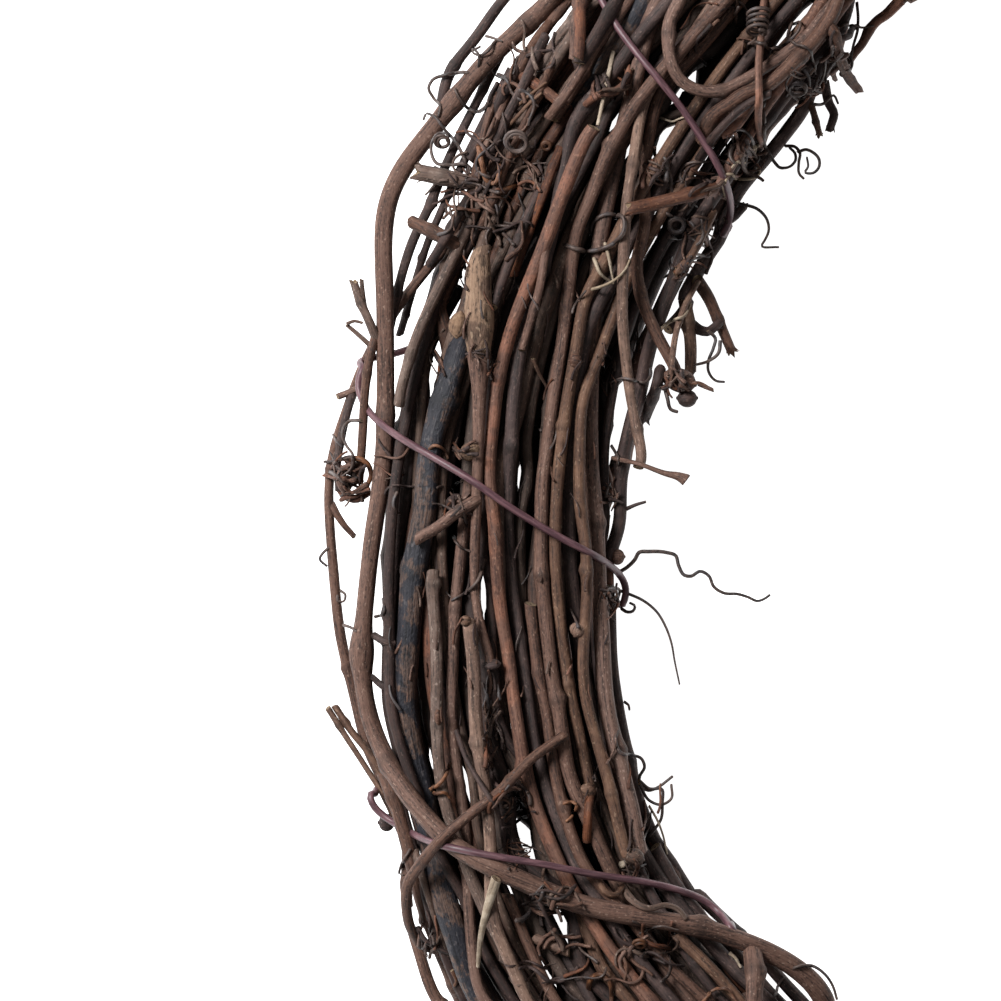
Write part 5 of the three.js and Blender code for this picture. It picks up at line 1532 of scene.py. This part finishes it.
    @staticmethod
    def stub_parts(strand: Strand) -> list[Strand]:
        """The crusted stub as two strands that meet at its neck: plain bark below it, crust above.

        Args:
            strand: The stub as one strand.

        Returns:
            Its two strands.
        """
        neck = int(np.argmax(strand.points[:, 1] > from_pixels(STUB_NECK)[1]))
        below, above = slice(0, neck + 1), slice(neck, None)
        return [replace(strand, points=strand.points[part], radii=strand.radii[part],
                        facing=strand.facing[part], finish=finish, start=start, end=end)
                for part, finish, start, end in ((below, Finish.BROWN, strand.start, End.ROUND),
                                                 (above, Finish.CRUSTED, End.ROUND, strand.end))]

    @staticmethod
    def stub_radii(path: Array) -> Array:
        """Half widths of the crusted stub, from its blunt head down to its thin foot."""
        return np.interp(to_pixels(path)[:, 1], STUB_ROWS, STUB_WIDTHS) * MM_PER_PIXEL / 2

    @staticmethod
    def kinked(path: Array, length: Array, knots: Array, amount: float,
               rng: np.random.Generator) -> Array:
        """A path moved sideways and up by small amounts that change straight from knot to knot.

        Args:
            path: Points of the path, in millimetres.
            length: Distances along it.
            knots: Distances of its knots.
            amount: The spread of the movements.
            rng: The source of its draws.

        Returns:
            The moved path.
        """
        at = np.concatenate([[0.0], knots, [length[-1]]])
        shift = rng.uniform(-amount, amount, (len(at), 2))
        aside = unit(path * (1.0, 1.0, 0.0))
        moved = path + aside * np.interp(length, at, shift[:, 0])[:, None]
        return moved + np.array([0.0, 0.0, 1.0]) * np.interp(length, at, shift[:, 1])[:, None]

    def outline(self) -> "BundleOutline":
        """The bundle's tight outline in any plane, over the rows alone."""
        return BundleOutline(self.rows, *self.rows.fine_rows())

    def wind_fat_vine(self, outline: "BundleOutline") -> None:
        """The fat vine: beside and over the bundle as seen, then wound round the rest of the ring.

        Args:
            outline: The bundle's tight outline.
        """
        radius = WOUND_DIAMETER / 2
        beside, over = (even_path(from_pixels(course), 1.2) for course in (WOUND_BESIDE, WOUND_OVER))
        height = np.full(len(beside) + len(over), WOUND_HEIGHT)
        height[len(beside):] = self.pile.lay(over, np.full(len(over), radius), stiff=True)
        ring = np.arange(WOUND_TAKEN_UP, WOUND_BEYOND[-1, 0], -0.5)
        round_way = np.interp(-ring, -WOUND_BEYOND[:, 0], WOUND_BEYOND[:, 1])
        beyond = round_middle(ring, outline.reach(ring, round_way) + radius, round_way)
        path = np.concatenate([np.column_stack([np.concatenate([beside, over]), height]), beyond])
        path = even_path(self.rounded(path, 14), 1.3)
        way, _ = ring_place(path)
        for foot in WOUND_FEET:
            gap = wrap_angle(way - foot)
            low = np.where((np.abs(gap) < FOOT_REACH) & (path[:, 2] < -8))[0]
            lack = (FOOT_HEIGHT - RING_CENTRE[2]) - path[low, 2].min()
            path[:, 2] += lack * np.exp(-(gap / 5.0) ** 2) * (path[:, 2] < -5)
        path = self.rounded(path, 3)
        length = path_length(path)
        across, down = (to_pixels(path) - WOUND_NODE).T
        node = np.exp(-(down / 22) ** 2) * (np.abs(across) < 40)
        knob = np.exp(-(np.linalg.norm(to_pixels(path) - WOUND_KNOB, axis=1) / 13) ** 2)
        radii = radius * (1 + 0.45 * node + 0.35 * knob - 0.06 * np.sin(length / 70))
        rng = np.random.default_rng(FAT_VINE_SEED)
        self.lay_piece("vine_wrapped", Strand(
            path, radii, Finish.BROWN, sides=20, seed=FAT_VINE_SEED, facing=off_middle(path),
            knots=knot_places(length[-1], WOUND_KNOT_GAPS, rng), swell=0.18, ridge=0.045, lump=0.02,
            floor=True))

    def lay_piece(self, name: str, strand: Strand) -> None:
        """Keeps a node's own strand, on which later pieces rest.

        Args:
            name: The CAD node's name.
            strand: Its strand.
        """
        self.pieces[name] = [strand]
        self.courses[name] = (strand.points, strand.radii)
        self.pile.add(strand.points, strand.radii, every=2)

    def attach(self, strand: Strand, at: int = 0) -> None:
        """Adds a strand to the piece of the vine whose bark is topmost near one of its points."""
        owner, _ = self.owner_at(strand.points[at])
        self.pieces[owner].append(strand)

    @staticmethod
    def rounded(path: Array, times: int) -> Array:
        """A path whose corners are rounded off, its ends kept.

        Args:
            path: The path's points.
            times: How often it is rounded.

        Returns:
            The rounded path.
        """
        for _ in range(times):
            path = np.concatenate([path[:1], (path[:-2] + 2 * path[1:-1] + path[2:]) / 4, path[-1:]])
        return path

    def lay_twigs(self) -> None:
        """The loose twigs, one after another on what is already there."""
        for i, (name, twig) in enumerate(LOOSE_TWIGS.items()):
            self.lay_piece(name, self.stick(twig, TWIG_SEED + i, stiff=True, step=0.8))

    def stick(self, twig: Stick, seed: int, stiff: bool, step: float) -> Strand:
        """A stick along its course, laid on the pile.

        Args:
            twig: The stick as seen.
            seed: Seed of its draws.
            stiff: Whether it bridges the dips.
            step: The distance between its points.

        Returns:
            Its strand.
        """
        rng = np.random.default_rng(seed)
        flat = even_path(from_pixels(twig.course), step)
        share = np.linspace(0, 1, len(flat))
        flare = 6 if twig.tip > 1.6 * twig.width else 1
        radii = (twig.width + (twig.tip - twig.width) * share**flare) / 2
        arch = np.sin(np.pi * np.minimum(1, 1.3 * share)) if twig.rise > 0 else 1.0
        height = self.pile.lay(flat, radii, stiff) + twig.rise * arch
        path = np.column_stack([flat, height])
        length = path_length(path)
        knotted = twig.width > KNOTTED_WIDTH and twig.finish is not Finish.PALE
        knots = knot_places(length[-1], TWIG_KNOT_GAPS, rng) if knotted else np.zeros(0)
        sides = 12 if twig.width > 2 else 10 if twig.width > KNOTTED_WIDTH else 7
        return Strand(path, radii, twig.finish, sides=sides, seed=seed, end=twig.end, knots=knots,
                      swell=0.22, ridge=0.05, lump=0.035)

    def bind_wire(self, outline: "BundleOutline") -> None:
        """The wire: along its seen courses in view, and turn after turn round the rest of the ring.

        Args:
            outline: The bundle's tight outline.
        """
        crossings = list(WIRE_CROSSINGS)
        while len(crossings) <= WIRE_TURNS:
            ring = crossings[-1][0] - WIRE_STRIDE
            crossings.append((ring, ring - WIRE_SLANT))
        radius = WIRE_DIAMETER / 2
        outline.extras = self.extra_bars()
        index = np.arange(WIRE_TURNS * WIRE_STEPS - WIRE_SHORT)
        turn, part = index // WIRE_STEPS, (index % WIRE_STEPS) / WIRE_STEPS * 2 * np.pi
        outer, inner = np.array(crossings)[turn].T
        after = np.array(crossings)[turn + 1, 0]
        across = (1 - np.cos(part)) / 2
        ring = np.where(part <= np.pi, outer + (inner - outer) * across, after + (inner - after) * across)
        round_way = np.degrees(np.arctan2(HALF_DEPTH * np.sin(part), HALF_WIDTH * np.cos(part)))
        path = round_middle(ring, outline.reach(ring, round_way) + radius + 0.1, round_way)
        for number, course in enumerate(WIRE_SEEN):
            front = np.where((turn == number) & (part <= np.pi + 1e-9))[0]
            flat = even_path(from_pixels(course), 0.5)
            at = np.linspace(0, 1, len(flat))
            spot = np.stack([np.interp(across[front], at, flat[:, k]) for k in (0, 1)], axis=1)
            high = outline.top(*ring_place(spot)) + radius
            path[front] = np.column_stack([spot, np.maximum(high, path[front, 2].min())])
        path = even_path(self.rounded(path, 2), 1.1)
        self.pieces["wire_binding"] = [Strand(
            path, np.full(len(path), radius), Finish.COAT, sides=10, seed=WIRE_SEED,
            facing=off_middle(path), ridge=0.0, lump=0.008)]

    def extra_bars(self) -> Pile:
        """The bars that lie over the rows: the fat vine and the loose twigs.

        Returns:
            A pile of these bars alone.
        """
        extra = Pile()
        for name in ("vine_wrapped", *LOOSE_TWIGS):
            path, radii = self.courses[name]
            extra.add(path, radii, every=3)
        return extra

    def owner_at(self, place: Array) -> tuple[str, float]:
        """The named vine whose bark is topmost near a place, and its middle's height there.

        Args:
            place: X and y, in millimetres.

        Returns:
            The vine's name and that height.
        """
        best, score, height = "vine_inner_stout", -1e9, 0.0
        for name, (path, radii) in self.courses.items():
            if name.startswith(DEEP) or name in LOOSE_TWIGS:
                continue
            aside = np.linalg.norm(path[:, :2] - place[:2], axis=1)
            k = int(aside.argmin())
            value = path[k, 2] + radii[k] - 2.5 * max(0.0, aside[k] - radii[k])
            if value > score:
                best, score, height = name, value, float(path[k, 2])
        return best, height

    def grow_seen(self) -> None:
        """The spurs and tendrils in view, each in the piece of the vine that it grows from."""
        for i, twig in enumerate(SPURS_SEEN + TENDRILS_SEEN):
            tendril = i >= len(SPURS_SEEN)
            strand = self.stick(twig, SEEN_SEED + i, stiff=not tendril, step=0.5 if tendril else 0.8)
            owner, height = self.owner_at(strand.points[0])
            sink = np.exp(-np.arange(len(strand.points)) / 3.0) * max(0.0, strand.points[0, 2] - height)
            strand.points[:, 2] -= sink
            self.pieces[owner].append(strand)
            if strand.end is End.TORN:
                self.pieces[owner].extend(self.splinters(strand, SPLINTER_SEED + 10 * i))
            self.pile.add(strand.points, strand.radii, every=2)

    @staticmethod
    def splinters(strand: Strand, seed: int) -> list[Strand]:
        """The frayed fibres of a torn end: thin strands that leave its rim and spread a little.

        Args:
            strand: The strand that is torn.
            seed: Seed of its draws.

        Returns:
            The fibres.
        """
        rng = np.random.default_rng(seed)
        along, beside, above = cross_frame(strand)
        thick = float(strand.radii[-1])
        fibres = []
        for k in range(SPLINTERS):
            turn = rng.uniform(0, 2 * np.pi)
            rim = math.cos(turn) * beside[-1] + math.sin(turn) * above[-1]
            step = np.linspace(0, 1, 5)[:, None]
            path = (strand.points[-1] + 0.7 * thick * rim
                    + along[-1] * (step * rng.uniform(0.9, 1.9) * thick - 0.4)
                    + rim * step**2 * rng.uniform(0.1, 0.8) * thick)
            radii = thick * rng.uniform(0.16, 0.3) * (1 - 0.6 * step[:, 0])
            fibres.append(Strand(path, radii, strand.finish, sides=5, seed=seed + k, end=End.ROUND))
        return fibres

    def grow_lumps(self) -> None:
        """The gnarled lumps: each one a closed bulge, widest in the middle, half sunk in its vine."""
        for i, knob in enumerate(KNOBS_SEEN):
            slope = math.radians(knob.slope)
            step = np.linspace(-1, 1, 11)
            along = (knob.long / 2 * step)[:, None]
            flat = from_pixels(knob.spot) + along * (math.cos(slope), math.sin(slope))
            radii = knob.wide / 2 * np.sqrt(np.maximum(1 - 0.96 * step**2, 0.0))
            on = self.pile.lay(flat[5:6].repeat(2, axis=0), radii[5:6].repeat(2), stiff=True)[0]
            path = np.column_stack([flat, np.full(len(step), on - KNOB_SINK * knob.wide)])
            self.attach(Strand(path, radii, knob.finish, sides=12, seed=KNOB_SEED + i, start=End.ROUND,
                               end=End.ROUND, ridge=0.16, lump=0.13), at=5)
            self.pile.add(path, radii)

    def wind_coils(self) -> None:
        """The coiled tendrils: circles drawn out along their travel and leant to look as open as seen."""
        for i, coil in enumerate(COILS_SEEN):
            turn = np.linspace(0, coil.turns * 2 * np.pi, int(coil.turns * 18))
            share = (turn / turn[-1])[:, None]
            size = coil.radius * MM_PER_PIXEL * (1 - 0.15 * share[:, 0])
            travel = np.array(coil.travel) * (1, -1) * MM_PER_PIXEL
            circle = np.stack([size * np.cos(turn), coil.open * size * np.sin(turn)], axis=1)
            flat = from_pixels(coil.spot) + share * travel + circle
            radii = np.full(len(flat), coil.width / 2)
            lean = math.sqrt(1 - coil.open**2)
            base = self.pile.lay(flat, radii, stiff=True).mean()
            height = base + lean * size * (1 + np.sin(turn)) + 0.2
            self.attach(Strand(np.column_stack([flat, height]), radii, coil.finish, sides=7,
                               seed=COIL_SEED + i, start=End.ROUND, end=End.ROUND, lump=0.05))

    def strew_tangles(self) -> None:
        """The patches of dry curls: each strand keeps turning by its own curl, with a slow wave on top."""
        for i, tangle in enumerate(TANGLES_SEEN):
            rng = np.random.default_rng(TANGLE_SEED + i)
            middle = from_pixels(tangle.spot)
            for k in range(tangle.count):
                length = tangle.long * rng.uniform(0.5, 1.3)
                s = np.linspace(0, length, max(5, int(length / 0.6)))
                heading = rng.uniform(0, 2 * np.pi) + s * rng.normal(0, tangle.curl) + 0.5 * np.sin(
                    s / 1.7 + rng.uniform(0, 6))
                if not tangle.curl:
                    heading = math.radians(90 + rng.uniform(-25, 25))
                    heading = heading + 0.3 * np.sin(s / 1.7 + rng.uniform(0, 6))
                step = s[1] * np.stack([np.cos(heading), np.sin(heading)], axis=1)
                reach = math.sqrt(rng.uniform(0, 1)) * np.array(tangle.reach) * MM_PER_PIXEL
                turn = rng.uniform(0, 2 * np.pi)
                start = middle + reach * (math.cos(turn), math.sin(turn))
                path = start + np.cumsum(step, axis=0) - step.sum(axis=0) / 2
                radii = tangle.width * rng.uniform(0.3, 0.75) * np.linspace(1, 0.6, len(s))
                rise = rng.uniform(-0.3, 1.1) + 0.4 * np.sin(s / 2.2 + rng.uniform(0, 6))
                height = self.pile.rest_height(path, radii)
                known = np.isfinite(height)
                if known.mean() < 0.5:
                    continue
                height = np.interp(s, s[known], height[known])
                height = self.rounded(height[:, None], 3)[:, 0]
                tone = TANGLE_TONES[(3 * i + k) % len(TANGLE_TONES)]
                self.attach(Strand(np.column_stack([path, height + rise]), radii, tone, sides=5,
                                   seed=CURL_SEED + 60 * i + k, start=End.ROUND, end=End.ROUND))

    def grow_beyond(self) -> None:
        """The shoots of the rest of the ring, by the rule that the solids follow.

        The same seeded draws give each shoot's ring angle, way out and length, and a shoot is made
        where the solids have one, which is where its node has a corner near the tip.
        """
        state = [RULE_SEED]

        def between(low: float, high: float) -> float:
            """One draw between two values."""
            state[0] = state[0] * 16807 % 2147483647
            return low + (high - low) * state[0] / 2147483647

        corners = {name: node_corners(name) - RING_CENTRE for name in self.rows.names
                   if not name.startswith(DEEP)}
        for i in range(SHOOTS_BEYOND):
            ring = 52 + 256 * (i + between(0.1, 0.9)) / SHOOTS_BEYOND
            ways = (between(-20, 50), between(130, 200), between(60, 120))
            way = math.radians(ways[WAY_ORDER[i % 4]])
            tendril = i % 3 == 0
            width = 1.0 if tendril else between(1.4, 2.6)
            length = between(14, 30) if tendril else between(7, 17)
            sway, size = between(-1, 1), between(0.6, 1.3)
            curl = size * math.copysign(1.0, between(-1, 1))
            name, out, rise, thick = self.outermost(ring, way)
            steps = np.arange(1, (9 if tendril else 3) + 1)
            far = thick + 0.6 + length * steps / len(steps) * (0.55 if tendril else 0.8)
            slide = 4 * curl * np.sin(steps * 0.9) + sway * steps if tendril else sway * 3 * steps
            lift = 2 * np.sin(steps * 0.7) if tendril else 0.6 * steps
            turned = ring + np.degrees(slide / RING_RADIUS)
            points = ring_points(turned, out + far * math.cos(way),
                                 np.maximum(rise + far * math.sin(way) + lift, -HALF_DEPTH))
            gap = np.linalg.norm(corners[name] - points[-1], axis=1).min()
            in_view = (np.abs(to_pixels(points) - VIEW_MIDDLE) < VIEW_HALF).all(axis=1).any()
            if gap > TIP_GAP or in_view:
                continue
            root = ring_points(np.array([ring]), np.array([out]), np.array([rise]))
            path = even_path(np.concatenate([root, points]), 0.7 if tendril else 1.0)
            radii = width / 2 * np.linspace(1.0, 0.7, len(path))
            finish = Finish.CHARCOAL if tendril else self.finishes[name]
            sides, end = (7, End.ROUND) if tendril else (9, End.CUT)
            self.pieces[name].append(Strand(path, radii, finish, sides=sides, seed=SHOOT_SEED + i, end=end,
                                            ridge=0.05, lump=0.05))

    def outermost(self, ring: float, way: float) -> tuple[str, float, float, float]:
        """The vine that reaches furthest in a direction at a ring angle, with its place and radius.

        Args:
            ring: The ring angle, in degrees.
            way: The direction round the bundle, in radians.

        Returns:
            Its name, out, rise and radius.
        """
        k = int(round(ring * PLANES / 360.0)) % PLANES
        named = np.array([not n.startswith(DEEP) for n in self.rows.names])
        there = self.rows.filled(np.array([ring % 360.0]))[:, 0] & named
        out, rise, radius = self.rows.out[:, k], self.rows.rise[:, k], self.rows.radius[:, k]
        lean = (out - bundle_middle(ring)) * math.cos(way) + rise * math.sin(way) + radius
        best = int(np.where(there, lean, -1e9).argmax())
        return self.rows.names[best], float(out[best]), float(rise[best]), float(radius[best])

    def make_pieces(self) -> None:
        """Makes every object: one for each CAD node, and a few that hold the deep vines."""
        deep: list[list[Strand]] = [[] for _ in range(DEEP_PIECES)]
        for i, (name, strands) in enumerate(self.pieces.items()):
            if name.startswith(DEEP):
                deep[i % DEEP_PIECES].extend(strands)
                continue
            make_piece(f"dressed_{name}", strands, replaces=name)
        for i, strands in enumerate(deep):
            make_piece(f"vines_between_{i + 1}", strands)


@dataclass
class BundleOutline:
    """The tight outline of everything bound, in planes through the ring's axis."""

    rows: RingRows
    out: Array
    rise: Array
    radius: Array
    extras: Pile | None = None

    def discs(self, ring: Array) -> tuple[Array, Array, Array]:
        """Out, rise and radius of each disc at each ring angle; the radius is NO_DISC where none is.

        The fat vine and the twigs add a disc wherever one of their bars crosses the plane.

        Args:
            ring: Ring angles, in degrees.

        Returns:
            Three tables, with a row for each angle.
        """
        at = (np.round(ring * FINE / 360.0).astype(int)) % FINE
        there = self.rows.filled(ring % 360.0)
        out, rise = self.out[:, at], self.rise[:, at]
        radius = np.where(there, self.radius[:, at], NO_DISC)
        if self.extras is None:
            return out, rise, radius
        angle = np.radians(ring)[None, :]
        outward = (-np.cos(angle), np.sin(angle))
        reach_a, side_a = self._split(self.extras.a, outward)
        reach_b, side_b = self._split(self.extras.b, outward)
        t = side_a / np.where(np.abs(side_a - side_b) < 1e-9, 1e-9, side_a - side_b)
        crosses = (side_a * side_b <= 0) & (reach_a > 0)
        more_out = reach_a + t * (reach_b - reach_a) - RING_RADIUS
        more_rise = self.extras.a[:, 2:3] + t * (self.extras.b - self.extras.a)[:, 2:3]
        more_radius = np.where(crosses, self.extras.ra[:, None], NO_DISC)
        return (np.vstack([out, np.where(crosses, more_out, 0)]),
                np.vstack([rise, np.where(crosses, more_rise, 0)]), np.vstack([radius, more_radius]))

    @staticmethod
    def _split(points: Array, outward: tuple[Array, Array]) -> tuple[Array, Array]:
        """How far points lie along the outward direction and across it."""
        x, y = points[:, 0:1], points[:, 1:2]
        return x * outward[0] + y * outward[1], x * -outward[1] + y * outward[0]

    def support(self, ring: Array, tilt: Array) -> Array:
        """How far the outline reaches from the bundle's middle in each direction, for each ring angle.

        Args:
            ring: Ring angles, in degrees.
            tilt: The directions, in radians.

        Returns:
            A row for each angle, a column for each direction.
        """
        out, rise, radius = self.discs(ring)
        aside = out - bundle_middle(ring)
        return (aside[None] * np.cos(tilt)[..., None, :] + rise[None] * np.sin(tilt)[..., None, :]
                + radius[None]).max(axis=1)

    def reach(self, ring: Array, round_way: Array) -> Array:
        """Distance from the middle to the outline: the least support over its tilt's cosine.

        Args:
            ring: Ring angles, in degrees.
            round_way: Ways round the bundle in degrees, nought outward.

        Returns:
            One distance for each angle.
        """
        tilt = np.radians(np.arange(-75, 76, 5))[:, None]
        way = np.radians(round_way)[None, :] + tilt
        return (self.support(ring, way) / np.cos(tilt)).min(axis=0)

    def top(self, ring: Array, out: Array) -> Array:
        """Height of the outline's upper side at an out: the least line that touches it from above.

        Args:
            ring: Ring angles, in degrees.
            out: An out for each.

        Returns:
            One height for each.
        """
        tilt = np.radians(np.arange(8, 173, 4))[:, None]
        way = np.broadcast_to(tilt, (len(tilt), len(ring)))
        aside = (out - bundle_middle(ring))[None, :]
        return ((self.support(ring, way) - aside * np.cos(tilt)) / np.sin(tilt)).min(axis=0)


@dataclass
class Studio:
    """The pale floor, the soft lights and the camera, straight over the part that is seen."""

    lens: float = 210.0
    frame_width: float = 209.0
    focus_height: float = 33.0
    target: tuple[float, float] = (-141.8, 12.1)
    lit: tuple[float, float, float] = (-0.14, 0.01, 0.02)
    floor_reach: float = 4.0
    sensor: float = 36.0

    def build(self) -> None:
        """Makes them all."""
        self._floor()
        self._camera()
        self._light("soft_key", (-0.90, 0.62, 1.05), 0.45, 34.0)
        self._light("soft_fill", (0.9, -0.5, 1.3), 1.3, 2.0)
        world = bpy.data.worlds.new("soft_room")
        world.use_nodes = True
        shade = world.node_tree.nodes["Background"]
        shade.inputs[0].default_value = WHITE
        shade.inputs[1].default_value = 0.15
        bpy.context.scene.world = world
        bpy.context.scene.view_settings.view_transform = "Standard"

    def _floor(self) -> None:
        """A wide white floor at the object's foot."""
        mesh = bpy.data.meshes.new("pale_floor")
        far = self.floor_reach
        mesh.from_pydata([(-far, -far, 0), (far, -far, 0), (far, far, 0), (-far, far, 0)], [], [(0, 1, 2, 3)])
        floor = bpy.data.objects.new("pale_floor", mesh)
        bpy.context.scene.collection.objects.link(floor)
        material, desk = new_desk("pale_paper")
        desk.shader((0.93, 0.93, 0.93, 1.0), 0.9, 0.1, in_Emission_Color=WHITE, in_Emission_Strength=1.05)
        mesh.materials.append(material)

    def _camera(self) -> None:
        """A long lens straight down, so that heights hardly shift what is seen."""
        data = bpy.data.cameras.new("camera")
        data.lens = self.lens
        data.sensor_width = self.sensor
        away = self.frame_width * self.lens / data.sensor_width + self.focus_height
        data.clip_end = 20.0
        camera = bpy.data.objects.new("camera", data)
        camera.location = (self.target[0] * MILLI, self.target[1] * MILLI, away * MILLI)
        bpy.context.scene.collection.objects.link(camera)
        bpy.context.scene.camera = camera

    def _light(self, name: str, place: tuple[float, float, float], size: float, power: float) -> None:
        """A square soft light that faces the object.

        Args:
            name: The light's name.
            place: Where it stands.
            size: Its width.
            power: Its power, in watts.
        """
        data = bpy.data.lights.new(name, "AREA")
        data.energy, data.size = power, size
        light = bpy.data.objects.new(name, data)
        light.location = place
        toward = np.array(self.lit) - np.array(place)
        light.rotation_mode = "QUATERNION"
        light.rotation_quaternion = Vector(toward).to_track_quat("-Z", "Y")
        bpy.context.scene.collection.objects.link(light)


def main() -> None:
    """Builds the wreath piece by piece, then the studio."""
    logging.basicConfig(level=logging.INFO, format="%(message)s")
    wreath = Wreath()
    wreath.gather_rows()
    wreath.add_deep_strands()
    wreath.lay_rows()
    outline = wreath.outline()
    wreath.wind_fat_vine(outline)
    wreath.lay_twigs()
    wreath.bind_wire(outline)
    wreath.grow_lumps()
    wreath.grow_seen()
    wreath.wind_coils()
    wreath.strew_tangles()
    wreath.grow_beyond()
    wreath.make_pieces()
    Studio().build()
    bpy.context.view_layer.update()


if __name__ == "__main__":
    main()
